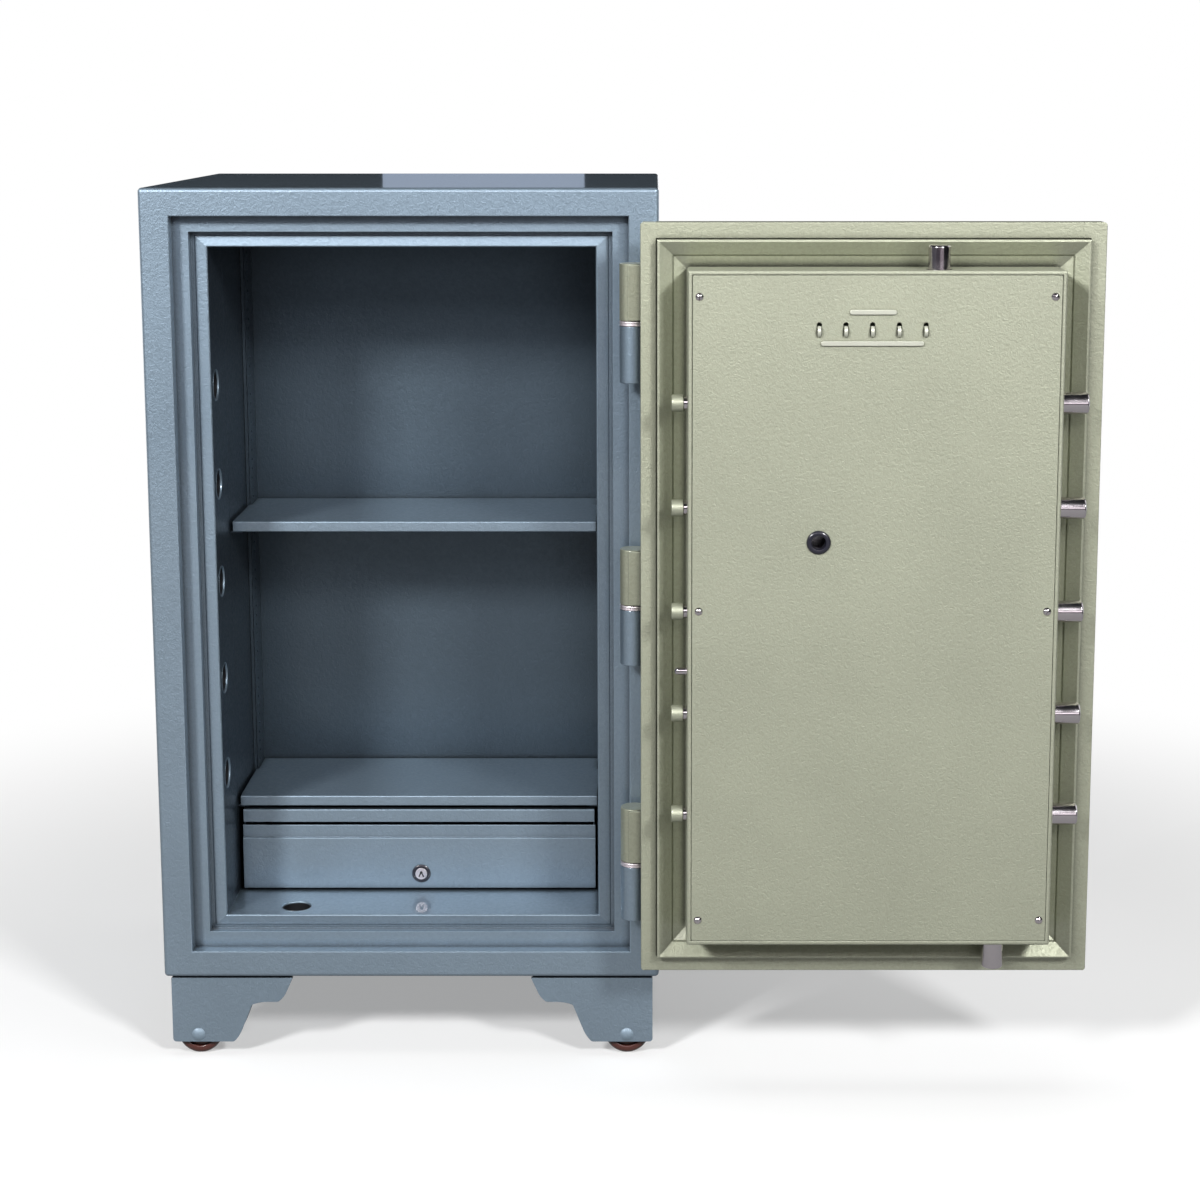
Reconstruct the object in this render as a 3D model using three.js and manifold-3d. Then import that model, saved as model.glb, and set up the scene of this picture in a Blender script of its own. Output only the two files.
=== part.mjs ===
// A free-standing home safe with its door swung fully open, in millimetres.
// X runs to the right, Y to the back and Z up. The safe's front faces -Y.
// The body is drawn about its own centre line. The door is drawn shut, and is then swung open.
import * as THREE from "three";
import { mergeVertices } from "three/addons/utils/BufferGeometryUtils.js";
import Module from "manifold-3d";

const wasm = await Module();
wasm.setup();

// General
const GAP = 0.3; // between a piece and what carries it
const ROUND = 16; // sides of a round piece
const SMALL_ROUND = 10; // sides of a small round piece
const WHEEL_ROUND = 28; // sides of a wheel
const CORNER_STEPS = 2; // straight lines in a rounded corner
const CRISP = 0.4; // corner radius inside folded sheet
const QUARTER = Math.PI / 2;

// Body: outer shell and the rim round the doorway
const BODY_HALF_WIDTH = 300;
const BODY_DEPTH = 500;
const BODY_HEIGHT = 951;
const BODY_BOTTOM = 101.5;
const BODY_TOP = BODY_BOTTOM + BODY_HEIGHT;
const BODY_HALF_HEIGHT = BODY_HEIGHT / 2;
const MIDDLE_Z = BODY_BOTTOM + BODY_HALF_HEIGHT;
const SHELL_SHEET = 4;
const SHELL_EDGE = 5;
const SIDE_RIM = 35.4;
const TOP_RIM = 32.7;
const JAMB_DEPTH = 18;
const DOORWAY = { halfWidth: BODY_HALF_WIDTH - SIDE_RIM, halfHeight: BODY_HALF_HEIGHT - TOP_RIM };

// Stepped frame inside the doorway, from the doorway's edge inwards
const STEP_WIDTH = 18.7;
const GROOVE_WIDTH = 5.3;
const GROOVE_FLOOR = 26.5;
const LIP_OUTER_DEPTH = 25;
const LIP_INNER_DEPTH = 29.3;
const SIDE_LIP = 14.4;
const TOP_LIP = 12.9;
const FRAME_SHEET = 4;
const FRAME_TUCK = 12; // how far the step runs behind the jamb
const CASING = 5; // thickness of the frame's inner wall
const CAVITY = {
  halfWidth: DOORWAY.halfWidth - STEP_WIDTH - GROOVE_WIDTH - SIDE_LIP,
  halfHeight: DOORWAY.halfHeight - STEP_WIDTH - GROOVE_WIDTH - TOP_LIP,
};
const CASING_END = 119.7;
const CAVITY_FLOOR = MIDDLE_Z - CAVITY.halfHeight;
const CAVITY_TOP = MIDDLE_Z + CAVITY.halfHeight;

// Liner behind the frame
const LINER_SHEET = 2;
const BACK_WALL = 295;

// Shelves, the uprights that carry them and the uprights' arms
const SHELF_CLEARANCE = 3.7; // between a shelf's end and the side wall
const SHELF_FRONT = CASING_END + 0.6;
const SHELF_BACK = BACK_WALL - 4;
const SHELF_HALF_WIDTH = CAVITY.halfWidth - SHELF_CLEARANCE;
const SHELF_LIP = 13;
const SHELF_RETURN = 12;
const SHELF_SHEET = 1.6;
const UPPER_SHELF_RISE = 64.5; // above the middle of the cavity
const LOWER_SHELF_RISE = 121.9; // above the cavity's floor
const UPPER_SHELF_TOP = MIDDLE_Z + UPPER_SHELF_RISE;
const LOWER_SHELF_TOP = CAVITY_FLOOR + LOWER_SHELF_RISE;
const UPRIGHT_DEPTH = 54;
const UPRIGHT_FRONT = BACK_WALL - UPRIGHT_DEPTH;
const UPRIGHT_STAND_OFF = 5.4;
const UPRIGHT_SHEET = 1.2;
const UPRIGHT_SLOT = { depth: 3, height: 6, pitch: 50, inset: 5 };
const ARM = { width: 14, thickness: 2, front: SHELF_FRONT + 3.7 };

// Drawer unit on the cavity floor
const CASE_CLEARANCE = 9.7; // between the case and the side wall
const CASE_HALF_WIDTH = CAVITY.halfWidth - CASE_CLEARANCE;
const CASE_FRONT = CASING_END - 1.7;
const CASE_HEIGHT = 104.9;
const CASE_TOP = CAVITY_FLOOR + CASE_HEIGHT;
const RAIL_HEIGHT = 16.2;
const RAIL_BOTTOM = CASE_TOP - RAIL_HEIGHT;
const CASE_SHEET = 1.5;
const DRAWER_FRONT = {
  face: CASE_FRONT - 1,
  bottom: CAVITY_FLOOR + 2.5,
  fold: RAIL_BOTTOM - 20.2,
  top: RAIL_BOTTOM - 4.5,
  halfWidth: CASE_HALF_WIDTH + 1,
};
const FRONT_PANEL = 3; // the main face stands this far in front of the upper strip
const STRIP_SHEET = 2;
const TRAY = {
  halfWidth: CASE_HALF_WIDTH - 3.5,
  floor: DRAWER_FRONT.bottom + 1.4,
  top: DRAWER_FRONT.top - 5.3,
  back: SHELF_BACK - 7,
  sheet: 1.2,
};
const DRAWER_LOCK = {
  x: 2,
  z: DRAWER_FRONT.bottom + 19.4,
  ring: 11.4,
  barrel: 8.8,
  plug: 7.4,
  ringHeight: 1.8,
  length: 17,
};

// Feet, axles and wheels
const FOOT_INSET = 7.7;
const FOOT_FRONT = 3;
const FOOT_PLATE = 5;
const FOOT_DEPTH = 44;
// corners of a foot plate: distance in from its outer edge, depth below the body, corner radius
const FOOT_OUTLINE = [
  [0, 0, 0],
  [148.7, 0, 0],
  [136, 28, 7],
  [129, 32.8, 0],
  [107, 32.8, 9],
  [97, 36.5, 0],
  [81, 77, 6],
  [74, 83.6, 3],
  [0, 83.6, 4],
];
const AXLE = { inset: 31.3, radius: 6, headRadius: 7.8, headHeight: 4, nutRadius: 9.5, nutHeight: 6 };
const WHEEL = { radius: 27.3, width: 30, bore: AXLE.radius + 0.4, edge: 3.5, front: 10 };

// Door, drawn shut: skin, flange and the raised tongue that enters the frame's groove
const DOOR_CLEARANCE = { side: 2.3, end: 2.8 };
const DOOR = {
  halfWidth: DOORWAY.halfWidth - DOOR_CLEARANCE.side,
  halfHeight: DOORWAY.halfHeight - DOOR_CLEARANCE.end,
  face: -8,
  flange: JAMB_DEPTH - 1,
  sheet: 3,
  edge: 5,
};
const TONGUE = {
  outer: DOORWAY.halfWidth - STEP_WIDTH - 2.5,
  inner: CAVITY.halfWidth - 0.2,
  outerTop: LIP_OUTER_DEPTH - 2,
  innerTop: LIP_INNER_DEPTH - 2.1,
};
const PAN_FLOOR = 12;
const PAN_SHEET = 3;

// Hinges: the pin's line, as seen from above, and the knuckles
const HINGE_INSET = 29.5; // from the body's side
const HINGE_X = BODY_HALF_WIDTH - HINGE_INSET;
const HINGE_Y = -26.3;
const KNUCKLE = { radius: 16, height: 66, edge: 1.2 };
const WASHER_HEIGHT = 5.4;
const WASHER_RISES = [DOOR.halfHeight - 117.5, -9.4, 119.1 - DOOR.halfHeight];
const WASHER_HEIGHTS = WASHER_RISES.map((rise) => MIDDLE_Z + rise);
const PIN_RADIUS = 6;
const PIN_RISE = KNUCKLE.height - 14;
const WEB = { left: HINGE_X - 5.5, right: HINGE_X + 13.5 };
const STRAP = { thickness: 6, reach: 96, overhang: 6 };

// Bolt box on the inside of the door, and its cover
const BOX_CLEARANCE = 16.9; // between the box and the cavity's wall, with the door shut
const BOX = {
  halfWidth: CAVITY.halfWidth - BOX_CLEARANCE,
  halfHeight: CAVITY.halfHeight - BOX_CLEARANCE,
  face: 73,
  sheet: 2.5,
  radius: 3,
};
const BOX_REST = 14.3; // width of the ledge that carries the cover
const COVER_SHEET = 2;
const COVER_INSET = 5;
const COVER_CENTRE_RISE = 0.9;
const BOX_MIDDLE_Z = MIDDLE_Z + COVER_CENTRE_RISE;
const SCREW = {
  side: BOX.halfWidth - 12.8,
  rows: [BOX.halfHeight - 29, 4.7, 30 - BOX.halfHeight],
  radius: 4,
  height: 2.2,
  shank: 1.6,
  reach: 3.6,
  hole: 2.2,
};
const HOOK_MIDDLE = 5; // the middle hook's distance from the door's centre line
const HOOK_PITCH = 29.5;
const HOOK_SLOTS = {
  xs: [2, 1, 0, -1, -2].map((step) => HOOK_MIDDLE + step * HOOK_PITCH),
  rise: BOX.halfHeight - 65.6,
  width: 5.8,
  height: 17,
};
const HOOK = { width: 3.6, radius: 7, sunk: 2.4, drop: 2 };
const RIBS = [
  { left: HOOK_MIDDLE - 26.5, right: HOOK_MIDDLE + 25.5, rise: HOOK_SLOTS.rise + 19.6 },
  { left: HOOK_MIDDLE - 57, right: HOOK_MIDDLE + 57, rise: HOOK_SLOTS.rise - 15.2 },
];
const RIB = { halfHeight: 2.9, height: 2.2, top: 1.6 };

// Handle, combination dial and lock case, guessed from the mechanism
const HANDLE = { x: -107.75, z: MIDDLE_Z, hub: 17, rose: 28, length: 118, spindle: 8, standOff: 46 };
const CAM = { radius: 45, near: 30, far: 36, pinCircle: 38.25, pin: 4, pinReach: 8 };
const LOCK_X = 50;
const LOCK_RISE = 84;
const LOCK_OFFSET = 12; // from the lock's middle to the dial, and to the change-key hole
const DIAL = { x: LOCK_X - LOCK_OFFSET, z: MIDDLE_Z + LOCK_RISE, radius: 35, knob: 18, height: 30, spindle: 4 };
const DIAL_RING = { inner: DIAL.radius + 1, outer: DIAL.radius + 9, height: 6 };
const LOCK_CASE = { left: LOCK_X - 42, right: LOCK_X + 42, halfHeight: 42, top: 40 };
const BUSHING = {
  x: LOCK_X + LOCK_OFFSET,
  rise: LOCK_RISE,
  flange: 13.6,
  barrel: 11.2,
  bore: 8,
  height: 2.6,
  length: 12,
};

// Bolts, shown thrown as in the picture
const BOLT_REACH = 12.6; // a thrown bolt's reach past the cavity's wall
const BOLT_CLEARANCE = 0.5;
const BOLT = {
  radius: 12.5,
  y: 56,
  tip: CAVITY.halfWidth + BOLT_REACH,
  inner: BOX.halfWidth - 13.3,
  edge: 2,
};
const BOLT_HOLE = BOLT.radius + BOLT_CLEARANCE;
const BOLT_ROW_Z = MIDDLE_Z + 2.4;
const BOLT_PITCH = 119.05;
const BOLT_ROW = [-2, -1, 0, 1, 2].map((step) => BOLT_ROW_Z + step * BOLT_PITCH);
const CARRIER = { thickness: 6, halfDepth: 10, halfHeight: 2 * BOLT_PITCH + 23.9 };
const CARRIER_ARM = {
  bottom: HANDLE.z + 15,
  top: HANDLE.z + 29,
  near: CAM.far + 10,
  far: CAM.far + 16,
  end: HANDLE.x - 12.25,
};
const TOP_BOLT = {
  x: HANDLE.x + CAM.pinCircle,
  tip: CAVITY_TOP + 11.1,
  shoulder: BOX_MIDDLE_Z + BOX.halfHeight - 66.9,
  rod: 6,
  end: HANDLE.z + 15,
};
const BOTTOM_BOLT = {
  x: HANDLE.x - CAM.pinCircle,
  tip: CAVITY_FLOOR - 13.6,
  shoulder: BOX_MIDDLE_Z - BOX.halfHeight + 61.1,
  rod: 6,
  end: HANDLE.z - 17,
};
const FIXED_PIN = {
  radius: 9.7,
  neck: 7.7,
  neckEnd: BOX.halfWidth + 4,
  tip: CAVITY.halfWidth + 1.1,
  hole: 8.2,
  y: BOLT.y,
};
const PIN_STRIP = { thickness: 4.5, halfDepth: 12, overrun: 30 };
const CATCH = {
  radius: 4.5,
  tip: CAVITY.halfWidth - 2.4,
  inner: BOX.halfWidth - 19.3,
  hole: 5,
  drop: 68,
};
const STRIKE = { radius: 18.5, y: BOLT.y + 1.5, pocket: BOLT.tip + 8.2 };
const PIN_STRIKE_RADIUS = FIXED_PIN.radius + 4.3;

// Finishes
const FINISH = {
  bodyPaint: [0x8496a6, 0.45, 0.35],
  dimPaint: [0x5f7180, 0.5, 0.3],
  doorPaint: [0xb0b39c, 0.5, 0.25],
  chrome: [0xd4d8dc, 0.12, 1],
  zinc: [0xb9bcc0, 0.35, 0.9],
  black: [0x25252d, 0.4, 0.1],
  wheel: [0x5a2f26, 0.35, 0.05],
  fill: [0xb8b4aa, 0.95, 0],
};

const finish = ([color, roughness, metalness]) =>
  new THREE.MeshStandardMaterial({ color, roughness, metalness });

const part = (name, geometry, colours) => {
  const mesh = new THREE.Mesh(geometry, finish(colours));
  mesh.name = name;
  return mesh;
};

/** Turns a closed mesh the right way out. */
function outward(geometry) {
  const position = geometry.attributes.position;
  const index = geometry.index.array;
  const [a, b, c] = [new THREE.Vector3(), new THREE.Vector3(), new THREE.Vector3()];
  let volume = 0;
  for (let i = 0; i < index.length; i += 3) {
    a.fromBufferAttribute(position, index[i]);
    b.fromBufferAttribute(position, index[i + 1]);
    c.fromBufferAttribute(position, index[i + 2]);
    volume += a.dot(b.cross(c));
  }
  if (volume < 0) {
    for (let i = 0; i < index.length; i += 3) {
      [index[i + 1], index[i + 2]] = [index[i + 2], index[i + 1]];
    }
  }
  return geometry;
}

/** The same mesh with shared corners, without faces that have shrunk to a line. */
function welded(geometry) {
  const bare = geometry.clone();
  bare.deleteAttribute("normal");
  bare.deleteAttribute("uv");
  const merged = mergeVertices(bare, 1e-4);
  const kept = [];
  const all = merged.index.array;
  for (let i = 0; i < all.length; i += 3) {
    const [p, q, r] = [all[i], all[i + 1], all[i + 2]];
    if (p !== q && q !== r && r !== p) {
      kept.push(p, q, r);
    }
  }
  merged.setIndex(kept);
  return outward(merged);
}

const solid = (geometry) => {
  const clean = welded(geometry);
  return new wasm.Manifold(
    new wasm.Mesh({
      numProp: 3,
      vertProperties: new Float32Array(clean.attributes.position.array),
      triVerts: new Uint32Array(clean.index.array),
    }),
  );
};

function geometryOf(body) {
  const mesh = body.getMesh();
  const geometry = new THREE.BufferGeometry();
  geometry.setAttribute("position", new THREE.BufferAttribute(mesh.vertProperties, 3));
  geometry.setIndex(Array.from(mesh.triVerts));
  return geometry;
}

const join = (...geometries) => geometryOf(geometries.map(solid).reduce((a, b) => a.add(b)));

const cut = (base, ...tools) =>
  geometryOf(tools.map(solid).reduce((left, tool) => left.subtract(tool), solid(base)));

const block = (x0, x1, y0, y1, z0, z1) =>
  welded(
    new THREE.BoxGeometry(x1 - x0, y1 - y0, z1 - z0).translate(
      (x0 + x1) / 2,
      (y0 + y1) / 2,
      (z0 + z1) / 2,
    ),
  );

/** A loop of corners: an upright rectangle with rounded corners, at one depth. */
function rectangle(halfWidth, halfHeight, y, radius = 0, middleZ = MIDDLE_Z) {
  const loop = [];
  const steps = radius > 0 ? CORNER_STEPS : 0;
  const signs = [
    [1, 1],
    [-1, 1],
    [-1, -1],
    [1, -1],
  ];
  signs.forEach(([sx, sz], corner) => {
    for (let i = 0; i <= steps; i++) {
      const angle = QUARTER * (corner + (steps ? i / steps : 0));
      const x = sx * (halfWidth - radius) + (steps ? radius * Math.cos(angle) : 0);
      const z = sz * (halfHeight - radius) + (steps ? radius * Math.sin(angle) : 0);
      loop.push([x, y, middleZ + z]);
    }
  });
  return loop;
}

/** Skins a row of loops. A ring joins its last loop to its first; otherwise both ends are capped. */
function loft(loops, ring = false) {
  const count = loops[0].length;
  const index = [];
  const rows = ring ? loops.length : loops.length - 1;
  for (let i = 0; i < rows; i++) {
    const near = i * count;
    const far = ((i + 1) % loops.length) * count;
    for (let j = 0; j < count; j++) {
      const next = (j + 1) % count;
      index.push(near + j, far + j, far + next, near + j, far + next, near + next);
    }
  }
  if (!ring) {
    const last = (loops.length - 1) * count;
    for (let j = 1; j < count - 1; j++) {
      index.push(0, j, j + 1, last, last + j + 1, last + j);
    }
  }
  const geometry = new THREE.BufferGeometry();
  const flat = new Float32Array(loops.flat(2));
  geometry.setAttribute("position", new THREE.BufferAttribute(flat, 3));
  geometry.setIndex(index);
  return outward(geometry);
}

/** A turned piece: pairs of radius and height, along a direction from a starting point. */
function turned(profile, start, direction, sides = ROUND) {
  const points = profile.map(([radius, height]) => new THREE.Vector2(radius, height));
  const geometry = new THREE.LatheGeometry(points, sides);
  const turn = new THREE.Quaternion().setFromUnitVectors(
    new THREE.Vector3(0, 1, 0),
    new THREE.Vector3(...direction),
  );
  geometry.applyQuaternion(turn).translate(...start);
  return welded(geometry);
}

const rod = (radius, length, start, direction, sides = ROUND) =>
  turned(
    [
      [0, 0],
      [radius, 0],
      [radius, length],
      [0, length],
    ],
    start,
    direction,
    sides,
  );

/** A flat outline given a thickness. The outline lies across the named axis. */
function prism(outline, axis, from, to) {
  const shape = new THREE.Shape(outline.map(([a, b]) => new THREE.Vector2(a, b)));
  const depth = to - from;
  const geometry = new THREE.ExtrudeGeometry(shape, { depth, bevelEnabled: false });
  const position = geometry.attributes.position;
  for (let i = 0; i < position.count; i++) {
    const [a, b] = [position.getX(i), position.getY(i)];
    const along = position.getZ(i) + from;
    const place = { x: [along, a, b], y: [a, along, b], z: [a, b, along] }[axis];
    position.setXYZ(i, ...place);
  }
  return welded(geometry);
}

/** Corner points of an outline whose third number rounds the corner off. */
function rounded(corners, steps = 3) {
  const points = [];
  corners.forEach(([a, b, radius], i) => {
    const here = new THREE.Vector2(a, b);
    if (!radius) {
      points.push([a, b]);
      return;
    }
    const [pa, pb] = corners.at(i - 1);
    const [na, nb] = corners[(i + 1) % corners.length];
    const back = new THREE.Vector2(pa, pb).sub(here).normalize();
    const on = new THREE.Vector2(na, nb).sub(here).normalize();
    const half = Math.acos(THREE.MathUtils.clamp(back.dot(on), -1, 1)) / 2;
    const reach = radius / Math.tan(half);
    const first = here.clone().addScaledVector(back, reach);
    const last = here.clone().addScaledVector(on, reach);
    for (let k = 0; k <= steps; k++) {
      const t = k / steps;
      const curve = first
        .clone()
        .multiplyScalar((1 - t) ** 2)
        .addScaledVector(here, 2 * t * (1 - t))
        .addScaledVector(last, t ** 2);
      points.push([curve.x, curve.y]);
    }
  });
  return points;
}

const LEFT = [-1, 0, 0];
const RIGHT = [1, 0, 0];
const FORWARD = [0, -1, 0];
const BACKWARD = [0, 1, 0];
const DOWN = [0, 0, -1];
const UP = [0, 0, 1];

/** The painted outer box with its folded rim and jamb. */
function outerShell() {
  const inner = BODY_HALF_WIDTH - SHELL_SHEET;
  const innerHigh = BODY_HALF_HEIGHT - SHELL_SHEET;
  const body = (inset, y, radius) =>
    rectangle(BODY_HALF_WIDTH - inset, BODY_HALF_HEIGHT - inset, y, radius);
  const jamb = (out, y) => rectangle(DOORWAY.halfWidth + out, DOORWAY.halfHeight + out, y, 1.5);
  const soft = SHELL_EDGE * 0.3;
  const back = BODY_DEPTH;
  return part(
    "outer_shell",
    loft([
      rectangle(inner, innerHigh, back - SHELL_SHEET, CRISP),
      rectangle(inner, innerHigh, SHELL_SHEET, CRISP),
      jamb(SHELL_SHEET, SHELL_SHEET),
      jamb(SHELL_SHEET, JAMB_DEPTH),
      jamb(0, JAMB_DEPTH),
      jamb(0, 1),
      jamb(1, 0),
      body(SHELL_EDGE, 0, SHELL_EDGE),
      body(soft, soft, SHELL_EDGE),
      body(0, SHELL_EDGE, SHELL_EDGE),
      body(0, back - SHELL_EDGE, SHELL_EDGE),
      body(soft, back - soft, SHELL_EDGE),
      body(SHELL_EDGE, back, SHELL_EDGE),
    ]),
    FINISH.bodyPaint,
  );
}

/** One loop of the stepped frame, measured inwards from the doorway's edge. */
function frameLoop(inset, y, lipShare = 0) {
  const trim = lipShare * (SIDE_LIP - TOP_LIP);
  return rectangle(DOORWAY.halfWidth - inset, DOORWAY.halfHeight - inset + trim, y);
}

/** Round holes in the frame's inner wall that the bolts enter, as cutting tools. */
function strikeHoles(wall, depth, pinDepth) {
  const side = BOLT_ROW.map((z) =>
    rod(STRIKE.radius, depth, [-wall.halfWidth + 1, STRIKE.y, z], LEFT),
  );
  const hinge = BOLT_ROW.map((z) =>
    rod(PIN_STRIKE_RADIUS, pinDepth, [wall.halfWidth - 1, FIXED_PIN.y, z], RIGHT, SMALL_ROUND),
  );
  const top = rod(STRIKE.radius, depth, [TOP_BOLT.x, STRIKE.y, MIDDLE_Z + wall.halfHeight - 1], UP);
  const low = MIDDLE_Z - wall.halfHeight + 1;
  const bottom = rod(STRIKE.radius, depth, [BOTTOM_BOLT.x, STRIKE.y, low], DOWN);
  return [...side, ...hinge, top, bottom];
}

/** The folded steel frame that the shut door seals against. */
function doorFrame() {
  const lipEdge = STEP_WIDTH + GROOVE_WIDTH;
  const wall = lipEdge + SIDE_LIP;
  const back = JAMB_DEPTH + FRAME_SHEET;
  const ring = loft(
    [
      frameLoop(-FRAME_TUCK, JAMB_DEPTH),
      frameLoop(STEP_WIDTH, JAMB_DEPTH),
      frameLoop(STEP_WIDTH + 1.5, GROOVE_FLOOR),
      frameLoop(lipEdge - 1, GROOVE_FLOOR),
      frameLoop(lipEdge, LIP_OUTER_DEPTH),
      frameLoop(wall - 1, LIP_INNER_DEPTH, 1),
      frameLoop(wall, LIP_INNER_DEPTH + 1.1, 1),
      frameLoop(wall, CASING_END, 1),
      frameLoop(wall - CASING, CASING_END, 1),
      frameLoop(wall - CASING, LIP_INNER_DEPTH + FRAME_SHEET, 1),
      frameLoop(STEP_WIDTH - 1.7, GROOVE_FLOOR + FRAME_SHEET + 0.5),
      frameLoop(STEP_WIDTH - FRAME_SHEET, back),
      frameLoop(-FRAME_TUCK, back),
    ],
    true,
  );
  const holes = strikeHoles(CAVITY, CASING + 2, CASING + 2);
  return part("door_frame", cut(ring, ...holes), FINISH.bodyPaint);
}

/** The plain box behind the frame: both sides, floor, roof and back of the inside. */
function innerLiner() {
  const { halfWidth, halfHeight } = CAVITY;
  const outer = [halfWidth + LINER_SHEET, halfHeight + LINER_SHEET];
  return part(
    "inner_liner",
    loft([
      rectangle(halfWidth, halfHeight, BACK_WALL),
      rectangle(halfWidth, halfHeight, CASING_END + GAP),
      rectangle(...outer, CASING_END + GAP),
      rectangle(...outer, BACK_WALL + LINER_SHEET),
    ]),
    FINISH.dimPaint,
  );
}

/** The cast fire fill between shell and liner, with pockets behind the strike holes. */
function fireFill() {
  const inner = SHELL_SHEET + GAP;
  const outer = (y) => rectangle(BODY_HALF_WIDTH - inner, BODY_HALF_HEIGHT - inner, y);
  const wall = STEP_WIDTH + GROOVE_WIDTH + SIDE_LIP - CASING - GAP;
  const step = STEP_WIDTH - FRAME_SHEET - GAP;
  const stepBack = JAMB_DEPTH + FRAME_SHEET + GAP;
  const liner = [CAVITY.halfWidth + LINER_SHEET + GAP, CAVITY.halfHeight + LINER_SHEET + GAP];
  const body = loft([
    rectangle(...liner, BACK_WALL + LINER_SHEET + GAP),
    rectangle(...liner, CASING_END + GAP),
    frameLoop(wall, CASING_END + GAP, 1),
    frameLoop(wall, LIP_INNER_DEPTH + FRAME_SHEET + 0.7, 1),
    frameLoop(STEP_WIDTH - 2, GROOVE_FLOOR + FRAME_SHEET + 0.8),
    frameLoop(step, stepBack),
    frameLoop(-FRAME_TUCK - GAP, stepBack),
    frameLoop(-FRAME_TUCK - GAP, SHELL_SHEET + GAP),
    outer(SHELL_SHEET + GAP),
    outer(BODY_DEPTH - inner),
  ]);
  const pocket = STRIKE.pocket - CAVITY.halfWidth;
  const pockets = strikeHoles(CAVITY, pocket, CASING + 4);
  return part("fire_fill", cut(body, ...pockets), FINISH.fill);
}

/** A shelf: a folded sheet with a lip along its front and back, notched round the uprights. */
function shelf(name, top) {
  const low = top - SHELF_LIP;
  const sheet = SHELF_SHEET;
  const profile = [
    [SHELF_FRONT, top],
    [SHELF_FRONT, low],
    [SHELF_FRONT + SHELF_RETURN, low],
    [SHELF_FRONT + SHELF_RETURN, low + sheet],
    [SHELF_FRONT + sheet, low + sheet],
    [SHELF_FRONT + sheet, top - sheet],
    [SHELF_BACK - sheet, top - sheet],
    [SHELF_BACK - sheet, low + sheet],
    [SHELF_BACK - SHELF_RETURN, low + sheet],
    [SHELF_BACK - SHELF_RETURN, low],
    [SHELF_BACK, low],
    [SHELF_BACK, top],
  ];
  const notchFrom = CAVITY.halfWidth - UPRIGHT_STAND_OFF - 1;
  const notches = [1, -1].map((side) => {
    const edges = [side * notchFrom, side * (SHELF_HALF_WIDTH + 5)].sort((a, b) => a - b);
    return block(...edges, UPRIGHT_FRONT - 1, SHELF_BACK + 1, low - 1, top + 1);
  });
  const sheetBody = prism(profile, "x", -SHELF_HALF_WIDTH, SHELF_HALF_WIDTH);
  return part(name, cut(sheetBody, ...notches), FINISH.bodyPaint);
}

/** A perforated upright against a side wall, with an arm under each shelf. */
function upright(name, side) {
  const wall = CAVITY.halfWidth;
  const face = wall - UPRIGHT_STAND_OFF;
  const back = BACK_WALL - GAP;
  const sheet = UPRIGHT_SHEET;
  const outline = [
    [wall, UPRIGHT_FRONT],
    [face, UPRIGHT_FRONT],
    [face, back],
    [wall, back],
    [wall, back - sheet],
    [face + sheet, back - sheet],
    [face + sheet, UPRIGHT_FRONT + sheet],
    [wall, UPRIGHT_FRONT + sheet],
  ];
  const mirrored = outline.map(([x, y]) => [side * x, y]);
  const bar = prism(mirrored, "z", CAVITY_FLOOR + GAP, CAVITY_TOP - GAP);
  const arms = [UPPER_SHELF_TOP, LOWER_SHELF_TOP].map((top) => {
    const plate = [
      [wall - GAP, ARM.front],
      [wall - ARM.width, ARM.front],
      [wall - ARM.width, SHELF_BACK],
      [face + sheet / 2, SHELF_BACK],
      [face + sheet / 2, UPRIGHT_FRONT + sheet / 2],
      [wall - GAP, UPRIGHT_FRONT + sheet / 2],
    ];
    const under = top - SHELF_LIP;
    const flat = plate.map(([x, y]) => [side * x, y]);
    return prism(flat, "z", under - ARM.thickness, under);
  });
  const { depth, height, pitch, inset } = UPRIGHT_SLOT;
  const slots = [];
  const from = UPRIGHT_FRONT + inset;
  const shelfBands = [UPPER_SHELF_TOP, LOWER_SHELF_TOP].map((top) => top - SHELF_LIP);
  for (let z = CAVITY_FLOOR + pitch; z < CAVITY_TOP - pitch; z += pitch) {
    if (shelfBands.every((band) => Math.abs(z - band) > height)) {
      const edges = [side * (face - 1), side * (face + sheet + 1)].sort((a, b) => a - b);
      slots.push(block(...edges, from, from + depth, z - height / 2, z + height / 2));
    }
  }
  return part(name, cut(join(bar, ...arms), ...slots), FINISH.bodyPaint);
}

/** The sheet case that guides the drawer, open at the front and standing on the floor. */
function drawerCase() {
  const half = CASE_HALF_WIDTH;
  const sheet = CASE_SHEET;
  const sideFront = DRAWER_FRONT.face + FRONT_PANEL + STRIP_SHEET + 0.5;
  const back = SHELF_BACK;
  const roof = block(-half, half, CASE_FRONT, back, CASE_TOP - sheet, CASE_TOP);
  const rail = block(-half, half, CASE_FRONT, CASE_FRONT + sheet, RAIL_BOTTOM, CASE_TOP);
  const rear = block(-half, half, back - sheet, back, CAVITY_FLOOR, CASE_TOP);
  const sides = [-half, half - sheet].map((x) =>
    block(x, x + sheet, sideFront, back, CAVITY_FLOOR, CASE_TOP),
  );
  return part("drawer_case", join(roof, rail, rear, ...sides), FINISH.dimPaint);
}

/** The drawer's sheet tray. */
function drawerTray() {
  const { halfWidth, floor, top, back, sheet } = TRAY;
  const front = DRAWER_FRONT.face + FRONT_PANEL + STRIP_SHEET;
  const outer = block(-halfWidth, halfWidth, front, back, floor, top);
  const inside = block(
    -halfWidth + sheet,
    halfWidth - sheet,
    front + sheet,
    back - sheet,
    floor + sheet,
    top + 1,
  );
  const hole = rod(DRAWER_LOCK.barrel + GAP, 4, [DRAWER_LOCK.x, front - 1, DRAWER_LOCK.z], BACKWARD);
  return part("drawer_tray", cut(outer, inside, hole), FINISH.dimPaint);
}

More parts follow.
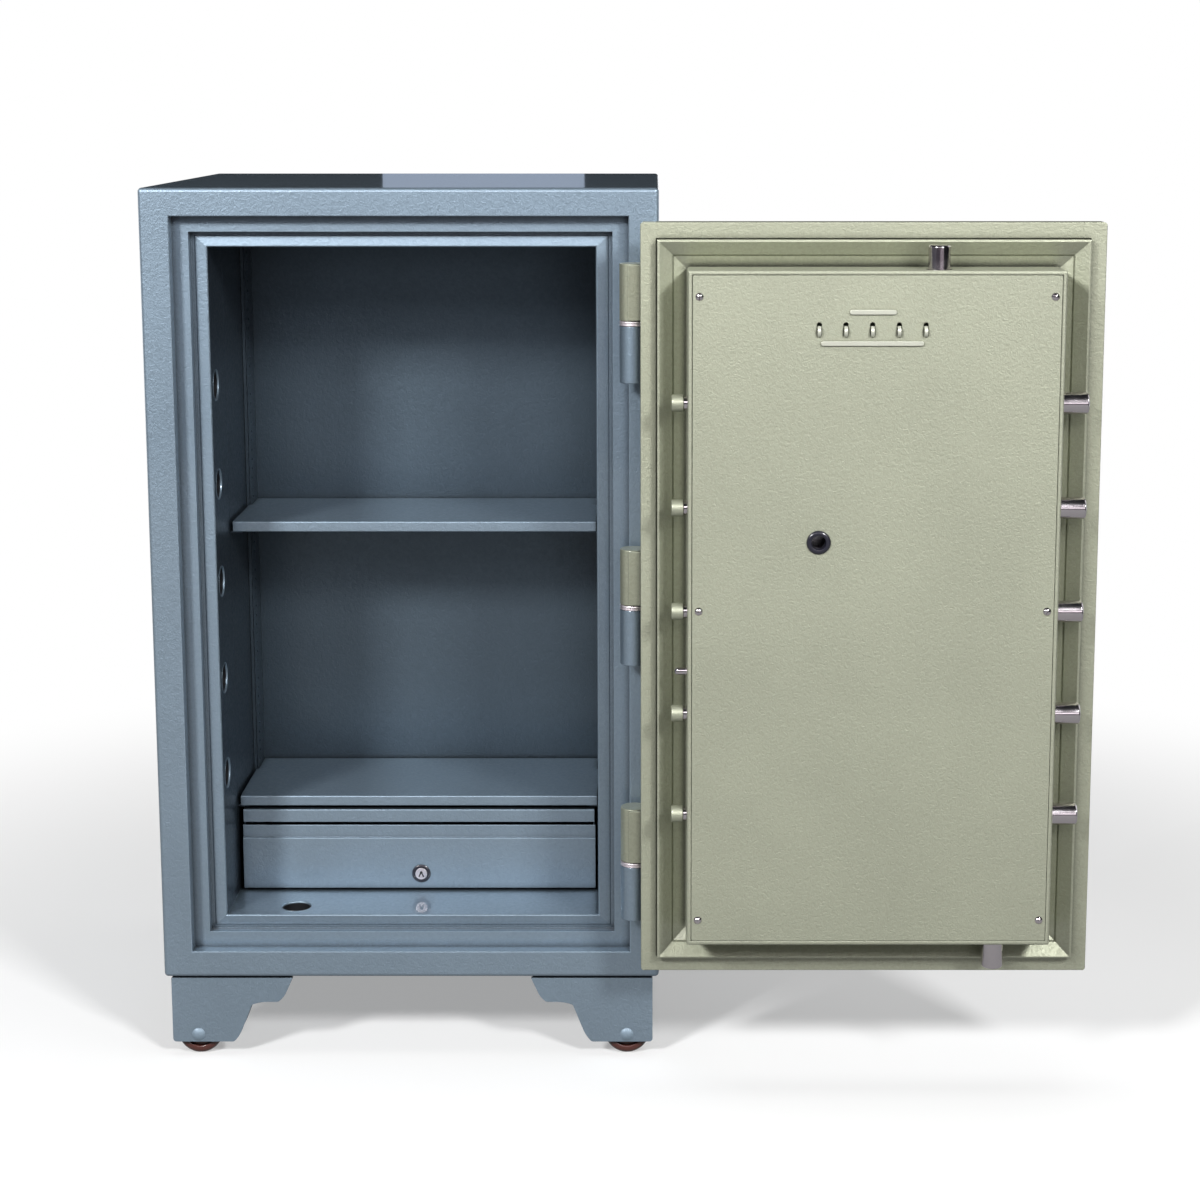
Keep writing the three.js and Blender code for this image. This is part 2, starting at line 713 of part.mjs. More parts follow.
/** The drawer's front: a main face that stands in front of a narrower upper strip. */
function drawerFront() {
  const { face, bottom, fold, top, halfWidth } = DRAWER_FRONT;
  const strip = face + FRONT_PANEL;
  const back = strip + STRIP_SHEET;
  const profile = [
    [back, bottom],
    [back, top],
    [strip + 0.5, top],
    [strip, top - 0.5],
    [strip, fold],
    [face + 1, fold],
    [face, fold - 1],
    [face, bottom + 0.6],
    [face + 0.6, bottom],
  ];
  const hole = rod(DRAWER_LOCK.barrel + GAP, 9, [DRAWER_LOCK.x, face - 1, DRAWER_LOCK.z], BACKWARD);
  const body = prism(profile, "x", -halfWidth, halfWidth);
  return part("drawer_front", cut(body, hole), FINISH.bodyPaint);
}

/** The black ring and barrel of the drawer's lock, and the plug that turns in it. */
function drawerLock() {
  const { x, z, ring, barrel, plug, ringHeight, length } = DRAWER_LOCK;
  const face = DRAWER_FRONT.face;
  const bore = plug + GAP;
  const body = turned(
    [
      [bore, 0],
      [ring - 1, 0],
      [ring, 0.8],
      [ring, ringHeight],
      [barrel, ringHeight],
      [barrel, length],
      [bore, length],
      [bore, 0],
    ],
    [x, face - ringHeight, z],
    BACKWARD,
  );
  const start = face - ringHeight - 0.4;
  const cylinder = rod(plug, length + 1.2, [x, start, z], BACKWARD);
  const cam = block(x - 4, x + 4, start + length + 0.8, start + length + 2.8, z, z + 14);
  const keyway = block(x - 0.9, x + 0.9, start - 1, start + 5, z - 4, z + 4);
  return [
    part("drawer_lock_body", body, FINISH.black),
    part("drawer_lock_cylinder", cut(join(cylinder, cam), keyway), FINISH.zinc),
  ];
}

/** One foot bracket, its axle and its wheel. Side is -1 at the left, end is 1 at the back. */
function footSet(place, side, back) {
  const outline = FOOT_OUTLINE.map(([inwards, drop, radius]) => [
    side * (BODY_HALF_WIDTH - FOOT_INSET - inwards),
    BODY_BOTTOM - drop,
    radius,
  ]);
  const points = rounded(outline);
  const along = (distance) => (back ? BODY_DEPTH - distance : distance);
  const span = (from, to) => [along(from), along(to)].sort((a, b) => a - b);
  const direction = back ? FORWARD : BACKWARD;
  const end = FOOT_FRONT + FOOT_DEPTH;
  const axleX = side * (BODY_HALF_WIDTH - FOOT_INSET - AXLE.inset);
  const axleZ = WHEEL.radius;
  const outer = side * (BODY_HALF_WIDTH - FOOT_INSET);
  const inner = side * (BODY_HALF_WIDTH - FOOT_INSET - FOOT_OUTLINE[1][0]);
  const edges = [outer, inner].sort((a, b) => a - b);
  const web = block(...edges, ...span(FOOT_FRONT, end), BODY_BOTTOM - FOOT_PLATE, BODY_BOTTOM);
  const plates = [FOOT_FRONT, end - FOOT_PLATE].map((from) =>
    prism(points, "y", ...span(from, from + FOOT_PLATE)),
  );
  const start = [axleX, along(FOOT_FRONT - 1), axleZ];
  const hole = rod(AXLE.radius + GAP, FOOT_DEPTH + 2, start, direction);
  const foot = cut(join(web, ...plates), hole);

  const { radius, headRadius, headHeight, nutRadius, nutHeight } = AXLE;
  const shank = headHeight + FOOT_DEPTH;
  const axle = turned(
    [
      [0, 0],
      [headRadius * 0.55, headHeight * 0.2],
      [headRadius * 0.9, headHeight * 0.6],
      [headRadius, headHeight],
      [radius, headHeight],
      [radius, shank],
      [nutRadius, shank],
      [nutRadius, shank + nutHeight - 1],
      [nutRadius - 1, shank + nutHeight],
      [0, shank + nutHeight],
    ],
    [axleX, along(FOOT_FRONT - headHeight), axleZ],
    direction,
    SMALL_ROUND,
  );

  const { width, bore, edge } = WHEEL;
  const wheel = turned(
    [
      [bore, 0],
      [WHEEL.radius - edge, 0],
      [WHEEL.radius, edge],
      [WHEEL.radius, width - edge],
      [WHEEL.radius - edge, width],
      [bore, width],
      [bore, 0],
    ],
    [axleX, along(WHEEL.front), axleZ],
    direction,
    WHEEL_ROUND,
  );
  return {
    fixed: [part(`foot_${place}`, foot, FINISH.bodyPaint), part(`axle_${place}`, axle, FINISH.bodyPaint)],
    wheel: part(`wheel_${place}`, wheel, FINISH.wheel),
  };
}

/** The body's half of a hinge: a knuckle with its pin, on a web from the rim. */
function hingeLower(number, washerZ) {
  const { radius, height, edge } = KNUCKLE;
  const top = washerZ - WASHER_HEIGHT / 2 - 0.1;
  const bottom = top - height;
  const knuckle = turned(
    [
      [0, 0],
      [radius - edge, 0],
      [radius, edge],
      [radius, height - edge],
      [radius - edge, height],
      [PIN_RADIUS, height],
      [PIN_RADIUS, height + PIN_RISE - 2],
      [PIN_RADIUS - 2, height + PIN_RISE],
      [0, height + PIN_RISE],
    ],
    [HINGE_X, HINGE_Y, bottom],
    UP,
  );
  const web = block(WEB.left, WEB.right, HINGE_Y, 0, bottom + edge, top - edge);
  return part(`hinge_lower_${number}`, join(knuckle, web), FINISH.bodyPaint);
}

/** The bright ring between a hinge's two knuckles. */
function hingeWasher(number, washerZ) {
  const { radius } = KNUCKLE;
  const half = WASHER_HEIGHT / 2;
  const inner = PIN_RADIUS + GAP;
  const ring = turned(
    [
      [inner, -half],
      [radius - 0.8, -half],
      [radius - 0.2, 0],
      [radius - 0.8, half],
      [inner, half],
      [inner, -half],
    ],
    [HINGE_X, HINGE_Y, washerZ],
    UP,
  );
  return part(`hinge_washer_${number}`, ring, FINISH.chrome);
}

/** The door's half of a hinge: a capped knuckle on a strap along the door's outer face. */
function hingeUpper(number, washerZ) {
  const { radius, height, edge } = KNUCKLE;
  const bottom = washerZ + WASHER_HEIGHT / 2 + 0.1;
  const bore = PIN_RADIUS + GAP;
  const knuckle = turned(
    [
      [bore, 0],
      [radius - edge, 0],
      [radius, edge],
      [radius, height - edge],
      [radius - edge, height],
      [0, height],
      [0, PIN_RISE + 2],
      [bore, PIN_RISE + 2],
      [bore, 0],
    ],
    [HINGE_X, HINGE_Y, bottom],
    UP,
  );
  const near = DOOR.face - STRAP.thickness;
  const strap = block(
    HINGE_X - STRAP.reach,
    HINGE_X + STRAP.overhang,
    near,
    DOOR.face,
    bottom + edge,
    bottom + height - edge,
  );
  return part(`hinge_upper_${number}`, join(knuckle, strap), FINISH.doorPaint);
}

const doorLoop = (inset, y, radius = 0) =>
  rectangle(DOOR.halfWidth - inset, DOOR.halfHeight - inset, y, radius);

/** Holes through the door for the handle's and the dial's spindles. */
const spindleHoles = () => [
  rod(HANDLE.spindle + GAP, 60, [HANDLE.x, DOOR.face - 20, HANDLE.z], BACKWARD),
  rod(DIAL.spindle + GAP, 60, [DIAL.x, DOOR.face - 20, DIAL.z], BACKWARD, SMALL_ROUND),
];

/** The door's outer skin: a pan with a flange turned in round its inner side. */
function doorShell() {
  const { face, flange, sheet, edge } = DOOR;
  const soft = edge * 0.3;
  const flangeEdge = DOOR.halfWidth - TONGUE.outer - 0.5;
  const pan = loft([
    doorLoop(edge, face, edge),
    doorLoop(soft, face + soft, edge),
    doorLoop(0, face + edge, edge),
    doorLoop(0, flange - 1.5, edge),
    doorLoop(1.5, flange, edge),
    doorLoop(flangeEdge, flange, CRISP),
    doorLoop(flangeEdge, flange - sheet, CRISP),
    doorLoop(sheet, flange - sheet, CRISP),
    doorLoop(sheet, face + sheet, CRISP),
  ]);
  return part("door_shell", cut(pan, ...spindleHoles()), FINISH.doorPaint);
}

/** The door's inner pan: a raised tongue round a sunk floor. */
function doorInnerPan() {
  const { outer, inner, outerTop, innerTop } = TONGUE;
  const at = (halfWidth, y, radius) => doorLoop(DOOR.halfWidth - halfWidth, y, radius);
  const under = DOOR.flange - DOOR.sheet + GAP;
  const pan = loft([
    at(inner, PAN_FLOOR, 1),
    at(inner, innerTop - 0.6, 1),
    at(inner + 1, innerTop, 1),
    at(outer - 0.8, outerTop, 3),
    at(outer, outerTop - 1, 3),
    at(outer, under, 3),
    at(outer - PAN_SHEET, under, 1),
    at(outer - PAN_SHEET, outerTop - PAN_SHEET, 1),
    at(inner + PAN_SHEET, innerTop - PAN_SHEET - 0.6, 1),
    at(inner + PAN_SHEET, PAN_FLOOR - PAN_SHEET, 1),
  ]);
  return part("door_inner_pan", cut(pan, ...spindleHoles()), FINISH.doorPaint);
}

/** The fire board between the door's skin and its inner pan. */
function doorFill() {
  const half = DOOR.halfWidth - DOOR.sheet - GAP;
  const halfHigh = DOOR.halfHeight - DOOR.sheet - GAP;
  const board = block(
    -half,
    half,
    DOOR.face + DOOR.sheet + GAP,
    PAN_FLOOR - PAN_SHEET - GAP,
    MIDDLE_Z - halfHigh,
    MIDDLE_Z + halfHigh,
  );
  return part("door_fill", cut(board, ...spindleHoles()), FINISH.fill);
}

const boxLoop = (inset, y, radius = 0) =>
  rectangle(BOX.halfWidth - inset, BOX.halfHeight - inset, y, radius, BOX_MIDDLE_Z);

const screwPlaces = () =>
  SCREW.rows.flatMap((rise) => [1, -1].map((side) => [side * SCREW.side, BOX_MIDDLE_Z + rise]));

const screwHoles = () =>
  screwPlaces().map(([x, z]) =>
    rod(SCREW.hole, 20, [x, BOX.face - 10, z], BACKWARD, SMALL_ROUND),
  );

/** The raised box that houses the bolts, with a ledge for the cover. */
function boltBox() {
  const { face, sheet, radius } = BOX;
  const ledge = face - COVER_SHEET;
  const ledgeBack = ledge - 1.8;
  const ring = loft(
    [
      boxLoop(0, PAN_FLOOR, radius),
      boxLoop(0, face - 1.5, radius),
      boxLoop(1.5, face, radius - 1),
      boxLoop(COVER_INSET, face, 1),
      boxLoop(COVER_INSET, ledge, 1),
      boxLoop(COVER_INSET + BOX_REST, ledge, 1),
      boxLoop(COVER_INSET + BOX_REST, ledgeBack, 1),
      boxLoop(sheet, ledgeBack, 1),
      boxLoop(sheet, PAN_FLOOR, 1),
    ],
    true,
  );
  const bolts = BOLT_ROW.map((z) => rod(BOLT_HOLE, 8, [-BOX.halfWidth + 5, BOLT.y, z], LEFT));
  const pins = BOLT_ROW.map((z) =>
    rod(FIXED_PIN.hole, 8, [BOX.halfWidth - 5, FIXED_PIN.y, z], RIGHT),
  );
  const top = BOX_MIDDLE_Z + BOX.halfHeight;
  const bottom = BOX_MIDDLE_Z - BOX.halfHeight;
  const ends = [
    rod(BOLT_HOLE, 8, [TOP_BOLT.x, BOLT.y, top - 5], UP),
    rod(BOLT_HOLE, 8, [BOTTOM_BOLT.x, BOLT.y, bottom + 5], DOWN),
  ];
  const catchZ = BOX_MIDDLE_Z - CATCH.drop;
  const catchHole = rod(CATCH.hole, 8, [BOX.halfWidth - 5, BOLT.y, catchZ], RIGHT, SMALL_ROUND);
  const holes = [...bolts, ...pins, ...ends, catchHole, ...screwHoles()];
  return part("bolt_box", cut(ring, ...holes), FINISH.doorPaint);
}

/** The cover panel with its two ribs, its five hooks and the change-key hole. */
function coverPanel() {
  const inset = COVER_INSET + GAP;
  const back = BOX.face - COVER_SHEET;
  const plate = loft([
    boxLoop(inset, back, 2.5),
    boxLoop(inset, BOX.face - 0.6, 2.5),
    boxLoop(inset + 0.6, BOX.face, 2.5),
  ]);
  const ribs = RIBS.map(({ left, right, rise }) => {
    const z = BOX_MIDDLE_Z + rise;
    const outline = [
      [BOX.face - 1, z - RIB.halfHeight],
      [BOX.face, z - RIB.halfHeight],
      [BOX.face + RIB.height, z - RIB.top],
      [BOX.face + RIB.height, z + RIB.top],
      [BOX.face, z + RIB.halfHeight],
      [BOX.face - 1, z + RIB.halfHeight],
    ];
    return prism(outline, "x", left, right);
  });
  const slotZ = BOX_MIDDLE_Z + HOOK_SLOTS.rise;
  const slots = HOOK_SLOTS.xs.map((x) => {
    const half = HOOK_SLOTS.width / 2;
    const high = HOOK_SLOTS.height / 2;
    const outline = [
      [x - half, slotZ - high, half],
      [x + half, slotZ - high, half],
      [x + half, slotZ + high, half],
      [x - half, slotZ + high, half],
    ];
    return prism(rounded(outline), "y", back - 2, BOX.face + 2);
  });
  const hooks = HOOK_SLOTS.xs.map((x) => {
    const start = [x - HOOK.width / 2, BOX.face - HOOK.sunk, slotZ - HOOK.drop];
    const disc = rod(HOOK.radius, HOOK.width, start, RIGHT);
    const under = block(x - 5, x + 5, back - 20, back + 0.3, slotZ - 20, slotZ + 20);
    const root = block(
      x - HOOK.width / 2,
      x + HOOK.width / 2,
      back + 0.3,
      BOX.face - 0.3,
      slotZ - HOOK_SLOTS.height / 2 - 1,
      slotZ - HOOK.drop,
    );
    return join(cut(disc, under), root);
  });
  const keyHole = rod(BUSHING.barrel + GAP, 10, [BUSHING.x, back - 4, BOX_MIDDLE_Z + BUSHING.rise], BACKWARD);
  const drilled = cut(plate, ...slots, keyHole, ...screwHoles());
  return part("cover_panel", join(drilled, ...ribs, ...hooks), FINISH.doorPaint);
}

/** The six domed screws that hold the cover. */
function coverScrews() {
  const { radius, height, shank } = SCREW;
  return screwPlaces().map(([x, z], i) => {
    const screw = turned(
      [
        [0, 0],
        [radius * 0.6, height * 0.2],
        [radius * 0.92, height * 0.6],
        [radius, height],
        [shank, height],
        [shank, height + SCREW.reach],
        [0, height + SCREW.reach],
      ],
      [x, BOX.face + height, z],
      FORWARD,
      SMALL_ROUND,
    );
    return part(`cover_screw_${i + 1}`, screw, FINISH.chrome);
  });
}

/** The dark bushing that lines the change-key hole. */
function changeKeyBushing() {
  const { x, rise, flange, barrel, bore, height, length } = BUSHING;
  const ring = turned(
    [
      [bore, 0],
      [bore + 1, -height],
      [flange - 2, -height],
      [flange, -height * 0.45],
      [flange, 0],
      [barrel, 0],
      [barrel, length],
      [bore, length],
      [bore, 0],
    ],
    [x, BOX.face, BOX_MIDDLE_Z + rise],
    FORWARD,
  );
  return part("change_key_bushing", ring, FINISH.black);
}

/** Five fixed pins on the hinge side, on one strip inside the box. */
function fixedPinStrip() {
  const inner = BOX.halfWidth - BOX.sheet - GAP;
  const { radius, neck, neckEnd, tip, y } = FIXED_PIN;
  const strip = block(
    inner - PIN_STRIP.thickness,
    inner,
    y - PIN_STRIP.halfDepth,
    y + PIN_STRIP.halfDepth,
    BOLT_ROW[0] - PIN_STRIP.overrun,
    BOLT_ROW.at(-1) + PIN_STRIP.overrun,
  );
  const start = inner - PIN_STRIP.thickness / 2;
  const pins = BOLT_ROW.map((z) =>
    turned(
      [
        [0, 0],
        [neck, 0],
        [neck, neckEnd - start],
        [radius, neckEnd - start],
        [radius, tip - start - 2],
        [radius - 2, tip - start],
        [0, tip - start],
      ],
      [start, y, z],
      RIGHT,
    ),
  );
  const catchZ = BOX_MIDDLE_Z - CATCH.drop;
  const behind = inner - 2 * PIN_STRIP.thickness;
  const room = rod(CATCH.hole, 4 * PIN_STRIP.thickness, [behind, BOLT.y, catchZ], RIGHT, SMALL_ROUND);
  return part("fixed_pin_strip", cut(join(strip, ...pins), room), FINISH.doorPaint);
}

/** The small bright catch pin between two fixed pins. */
function catchPin() {
  const { radius, tip, inner, drop } = CATCH;
  const length = tip - inner;
  const pin = turned(
    [
      [0, 0],
      [radius, 0],
      [radius, length - 3],
      [radius * 0.7, length - 0.8],
      [0, length],
    ],
    [inner, BOLT.y, BOX_MIDDLE_Z - drop],
    RIGHT,
    SMALL_ROUND,
  );
  return part("catch_pin", pin, FINISH.chrome);
}

/** The upright bar that carries the five side bolts, with the arm to the handle's cam. */
function boltCarrier() {
  const { thickness, halfDepth, halfHeight } = CARRIER;
  const bar = block(
    -BOLT.inner,
    -BOLT.inner + thickness,
    BOLT.y - halfDepth,
    BOLT.y + halfDepth,
    BOLT_ROW_Z - halfHeight,
    BOLT_ROW_Z + halfHeight,
  );
  const { bottom, top, near, far, end } = CARRIER_ARM;
  const arm = block(-BOLT.inner + thickness / 2, end, near, far, bottom, top);
  return part("bolt_carrier", join(bar, arm), FINISH.zinc);
}

const sideBolts = () =>
  BOLT_ROW.map((z, i) => {
    const { radius, tip, inner, edge, y } = BOLT;
    const length = tip - inner;
    const bolt = turned(
      [
        [0, 0],
        [radius, 0],
        [radius, length - edge],
        [radius - edge * 0.35, length - edge * 0.35],
        [radius - edge, length],
        [0, length],
      ],
      [-inner, y, z],
      LEFT,
    );
    return part(`side_bolt_${i + 1}`, bolt, FINISH.chrome);
  });

/** A bolt at the top or the bottom, with the rod that runs to the handle's cam. */
function endBolt(name, { x, tip, shoulder, rod: rodRadius, end }) {
  const direction = tip > end ? UP : DOWN;
  const neck = Math.abs(shoulder - end);
  const length = Math.abs(tip - end);
  const { radius, edge, y } = BOLT;
  const bolt = turned(
    [
      [0, 0],
      [rodRadius, 0],
      [rodRadius, neck],
      [radius, neck],
      [radius, length - edge],
      [radius - edge * 0.35, length - edge * 0.35],
      [radius - edge, length],
      [0, length],
    ],
    [x, y, end],
    direction,
  );
  return part(name, bolt, FINISH.chrome);
}

/** The lever handle with its spindle and the cam disc that drives the bolts. */
function doorHandle() {
  const { x, z, hub, rose, length, spindle, standOff } = HANDLE;
  const face = DOOR.face - GAP;
  const core = turned(
    [
      [0, 0],
      [hub - 3, 0],
      [hub, 3],
      [hub, standOff - 8],
      [rose, standOff - 5],
      [rose, standOff],
      [spindle, standOff],
      [spindle, standOff + CAM.near - face],
      [CAM.radius, standOff + CAM.near - face],
      [CAM.radius, standOff + CAM.far - face],
      [0, standOff + CAM.far - face],
    ],
    [x, face - standOff, z],
    BACKWARD,
  );
  const lever = turned(
    [
      [0, 0],
      [8, 0],
      [9, 12],
      [7.5, length * 0.55],
      [9.5, length - 14],
      [8, length - 3],
      [0, length],
    ],
    [x, face - standOff + 15, z],
    LEFT,
    SMALL_ROUND,
  );
  const pins = [0, QUARTER, 2 * QUARTER].map((angle) => {
    const at = [x + CAM.pinCircle * Math.cos(angle), CAM.near + 1, z + CAM.pinCircle * Math.sin(angle)];
    return rod(CAM.pin, CAM.far - CAM.near - 1 + CAM.pinReach, at, BACKWARD, SMALL_ROUND);
  });
  return part("door_handle", join(core, lever, ...pins), FINISH.chrome);
}

/** The combination dial and the ring that it turns in. */
function dialSet() {
  const { x, z, radius, knob, height, spindle } = DIAL;
  const face = DOOR.face;
  const ring = turned(
    [
      [DIAL_RING.inner, 0],
      [DIAL_RING.outer, 0],
      [DIAL_RING.outer - 1, DIAL_RING.height],
      [DIAL_RING.inner + 1.5, DIAL_RING.height],
      [DIAL_RING.inner, 0],
    ],
    [x, face, z],
    FORWARD,
  );
  const reach = height + 14;
  const dial = turned(
    [
      [0, 0],
      [knob - 2, 0],
      [knob, 2],
      [knob, height - 9],
      [radius - 5, height - 6],
      [radius, height - 3],
      [radius, height],
      [spindle, height],
      [spindle, reach + 12],
      [0, reach + 12],
    ],
    [x, face - GAP - height, z],
    BACKWARD,
  );
  return [part("dial_ring", ring, FINISH.black), part("combination_dial", dial, FINISH.zinc)];
}

/** The lock's case inside the bolt box, behind the change-key hole. */
function lockCase() {
  const { left, right, halfHeight, top } = LOCK_CASE;
  const body = block(left, right, PAN_FLOOR, top, DIAL.z - halfHeight, DIAL.z + halfHeight);
  const bore = rod(DIAL.spindle + GAP, 30, [DIAL.x, PAN_FLOOR - 1, DIAL.z], BACKWARD, SMALL_ROUND);
  return part("lock_case", cut(body, bore), FINISH.zinc);
}

/** Everything that hangs on the hinges, drawn shut and then swung open. */
function door() {
  const group = new THREE.Group();
  group.add(
    doorShell(),
    doorInnerPan(),
    doorFill(),
    boltBox(),
    coverPanel(),
    ...coverScrews(),
    changeKeyBushing(),
    fixedPinStrip(),
    catchPin(),
    ...WASHER_HEIGHTS.map((z, i) => hingeUpper(i + 1, z)),
    boltCarrier(),
    ...sideBolts(),
    endBolt("top_bolt", TOP_BOLT),
    endBolt("bottom_bolt", BOTTOM_BOLT),
    doorHandle(),
    ...dialSet(),
    lockCase(),
  );
  group.position.set(2 * HINGE_X, 2 * HINGE_Y, 0);
  group.rotation.z = Math.PI;
  return group;
}

function safe() {
  const group = new THREE.Group();
  group.add(
    outerShell(),
    doorFrame(),
    innerLiner(),
    fireFill(),
    shelf("upper_shelf", UPPER_SHELF_TOP),
    shelf("lower_shelf", LOWER_SHELF_TOP),
    upright("upright_left", -1),
    upright("upright_right", 1),
    drawerCase(),
    drawerTray(),
    drawerFront(),
    ...drawerLock(),
  );
  const places = [
    ["front_left", -1, false],
    ["front_right", 1, false],
    ["back_left", -1, true],
    ["back_right", 1, true],
  ];
  places.forEach(([place, side, back]) => {
    const set = footSet(place, side, back);
    group.add(...set.fixed, set.wheel);
  });
  WASHER_HEIGHTS.forEach((z, i) => {
    group.add(hingeLower(i + 1, z), hingeWasher(i + 1, z));
  });
  group.add(door());
  return group;
}

/** Moves the whole object so that the middle of its base is at the origin. */
function centred(group) {
  group.updateMatrixWorld(true);
  const box = new THREE.Box3().setFromObject(group, true);
  const middle = box.getCenter(new THREE.Vector3());
  group.position.set(-middle.x, -middle.y, -box.min.z);
  group.updateMatrixWorld(true);
  return group;
}

export default centred(safe());
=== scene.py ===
"""A free-standing home safe with its door swung fully open: its looks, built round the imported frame."""

import logging
import math
from dataclasses import dataclass, field
from enum import Enum
from typing import Callable, Iterable, Sequence

import bmesh
import bpy
from bmesh.types import BMEdge, BMesh, BMFace, BMVert
from mathutils import Matrix, Vector


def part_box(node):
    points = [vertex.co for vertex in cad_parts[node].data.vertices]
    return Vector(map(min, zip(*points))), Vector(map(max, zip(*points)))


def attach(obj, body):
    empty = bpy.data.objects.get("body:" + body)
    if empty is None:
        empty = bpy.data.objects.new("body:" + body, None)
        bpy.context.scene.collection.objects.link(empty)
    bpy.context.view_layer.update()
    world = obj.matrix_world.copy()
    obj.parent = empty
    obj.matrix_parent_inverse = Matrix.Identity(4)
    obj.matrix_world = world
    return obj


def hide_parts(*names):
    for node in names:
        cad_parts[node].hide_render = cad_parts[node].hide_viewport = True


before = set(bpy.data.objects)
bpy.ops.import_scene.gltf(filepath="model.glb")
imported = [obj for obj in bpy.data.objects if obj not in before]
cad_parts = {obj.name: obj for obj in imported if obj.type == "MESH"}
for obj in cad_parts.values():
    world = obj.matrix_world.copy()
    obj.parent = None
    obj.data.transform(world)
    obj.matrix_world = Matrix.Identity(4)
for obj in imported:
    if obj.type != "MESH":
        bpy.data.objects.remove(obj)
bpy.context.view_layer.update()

Point = tuple[float, float]
Place = tuple[float, float, float]
Color = tuple[float, float, float, float]
Socket = bpy.types.NodeSocket

MM = 0.001
FULL_TURN = 2 * math.pi
RIGHT_ANGLE = math.pi / 2
SHARP_FROM = 34.0
LOG = logging.getLogger("safe")

LEFT: Place = (-1, 0, 0)
RIGHT: Place = (1, 0, 0)
FORWARD: Place = (0, -1, 0)
BACKWARD: Place = (0, 1, 0)
DOWN: Place = (0, 0, -1)
UP: Place = (0, 0, 1)

# Millimetres: the gap between two pieces, how far a cutter stands out past what it cuts, how close a
# corner lies to a face that it is on, and how close two corners are that become one.
GAP = 0.3
OVER = 1.0
NEAR = 0.1
MERGE = 1e-3

HINGE_LINE: Point = (270.5, -26.3)


class Drawing(Enum):
    """The two drawings that pieces are made on, in millimetres, and where each lies in the row frame.

    The body is drawn about its own centre line with its front at y = 0. The door is drawn shut, in the
    body's drawing, and is then turned half round the hinge line.
    """

    BODY = "body"
    DOOR = "door"

    def matrix(self) -> Matrix:
        """Places this drawing in the row frame.

        Returns:
            The move from the drawing's millimetres to the row frame's metres.
        """
        low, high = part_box("outer_shell")
        drawn = Matrix.Translation(((low.x + high.x) / 2, low.y, 0.0)) @ Matrix.Scale(MM, 4)
        if self is Drawing.BODY:
            return drawn
        hinge = Matrix.Translation((*HINGE_LINE, 0.0))
        return drawn @ hinge @ Matrix.Rotation(math.pi, 4, "Z") @ hinge.inverted()


@dataclass(frozen=True)
class Plan:
    """Places that several sub-assemblies share, in the drawings' millimetres.

    Attributes:
        half_width: half the width of the body.
        depth: depth of the body.
        middle_z: height of the middle of the body and of the door.
        bolt_y: depth at which the bolts and pins lie.
        row_middle: height of the middle bolt.
        row_pitch: distance from bolt to bolt.
        top_bolt_x: where the top bolt stands.
        bottom_bolt_x: where the bottom bolt stands.
        handle: x and z of the handle's spindle.
        dial: x and z of the dial's spindle.
    """

    half_width: float = 300.0
    depth: float = 500.0
    middle_z: float = 577.0
    bolt_y: float = 56.0
    row_middle: float = 579.4
    row_pitch: float = 119.05
    top_bolt_x: float = -69.5
    bottom_bolt_x: float = -146.0
    handle: Point = (-107.75, 577.0)
    dial: Point = (38.0, 661.0)

    @property
    def bolt_row(self) -> list[float]:
        """Heights of the five bolts, from the lowest."""
        return [self.row_middle + n * self.row_pitch for n in range(-2, 3)]


PLAN = Plan()


@dataclass(frozen=True)
class Corner:
    """One corner of a flat outline, rounded off by a radius in millimetres."""

    across: float
    along: float
    radius: float = 0.0


@dataclass(frozen=True)
class Station:
    """One upright rectangle of a framed form: half its width and height, and its depth."""

    half_width: float
    half_height: float
    depth: float


def transformed(shape: BMesh, matrix: Matrix) -> BMesh:
    """Moves a whole shape.

    Args:
        shape: the shape.
        matrix: the move.

    Returns:
        The same shape.
    """
    bmesh.ops.transform(shape, matrix=matrix, verts=shape.verts)
    return shape


def thickened(shape: BMesh, thickness: float) -> BMesh:
    """Draws a flat shape out upwards.

    Args:
        shape: the shape, which lies level.
        thickness: how thick it gets.

    Returns:
        The same shape, closed.
    """
    drawn = bmesh.ops.extrude_face_region(shape, geom=list(shape.faces))
    moved = [v for v in drawn["geom"] if isinstance(v, BMVert)]
    bmesh.ops.translate(shape, verts=moved, vec=(0, 0, thickness))
    return shape


def lies(edge: BMEdge, test: Callable[[Vector], bool]) -> bool:
    """Whether both ends of an edge pass a test of their place."""
    return all(test(v.co) for v in edge.verts)


def rounded_edges(
    shape: BMesh,
    radius: float,
    segments: int = 3,
    where: Callable[[BMEdge], bool] | None = None,
    sharper_than: float = 25.0,
) -> BMesh:
    """Rounds the sharp edges of a shape.

    Args:
        shape: the shape.
        radius: how far the rounding reaches from the edge, in millimetres.
        segments: flats in the rounding.
        where: which of the sharp edges are rounded, all of them if it isn't given.
        sharper_than: angle in degrees between two faces from which their edge is sharp.

    Returns:
        The same shape.
    """
    limit = math.radians(sharper_than)
    sharp = [e for e in shape.edges if len(e.link_faces) == 2 and e.calc_face_angle(0.0) > limit]
    chosen = [e for e in sharp if where is None or where(e)]
    if chosen and radius > 0:
        bmesh.ops.bevel(
            shape,
            geom=chosen,
            offset=radius,
            offset_type="OFFSET",
            segments=segments,
            profile=0.5,
            affect="EDGES",
            clamp_overlap=True,
            material=-1,
        )
    return shape


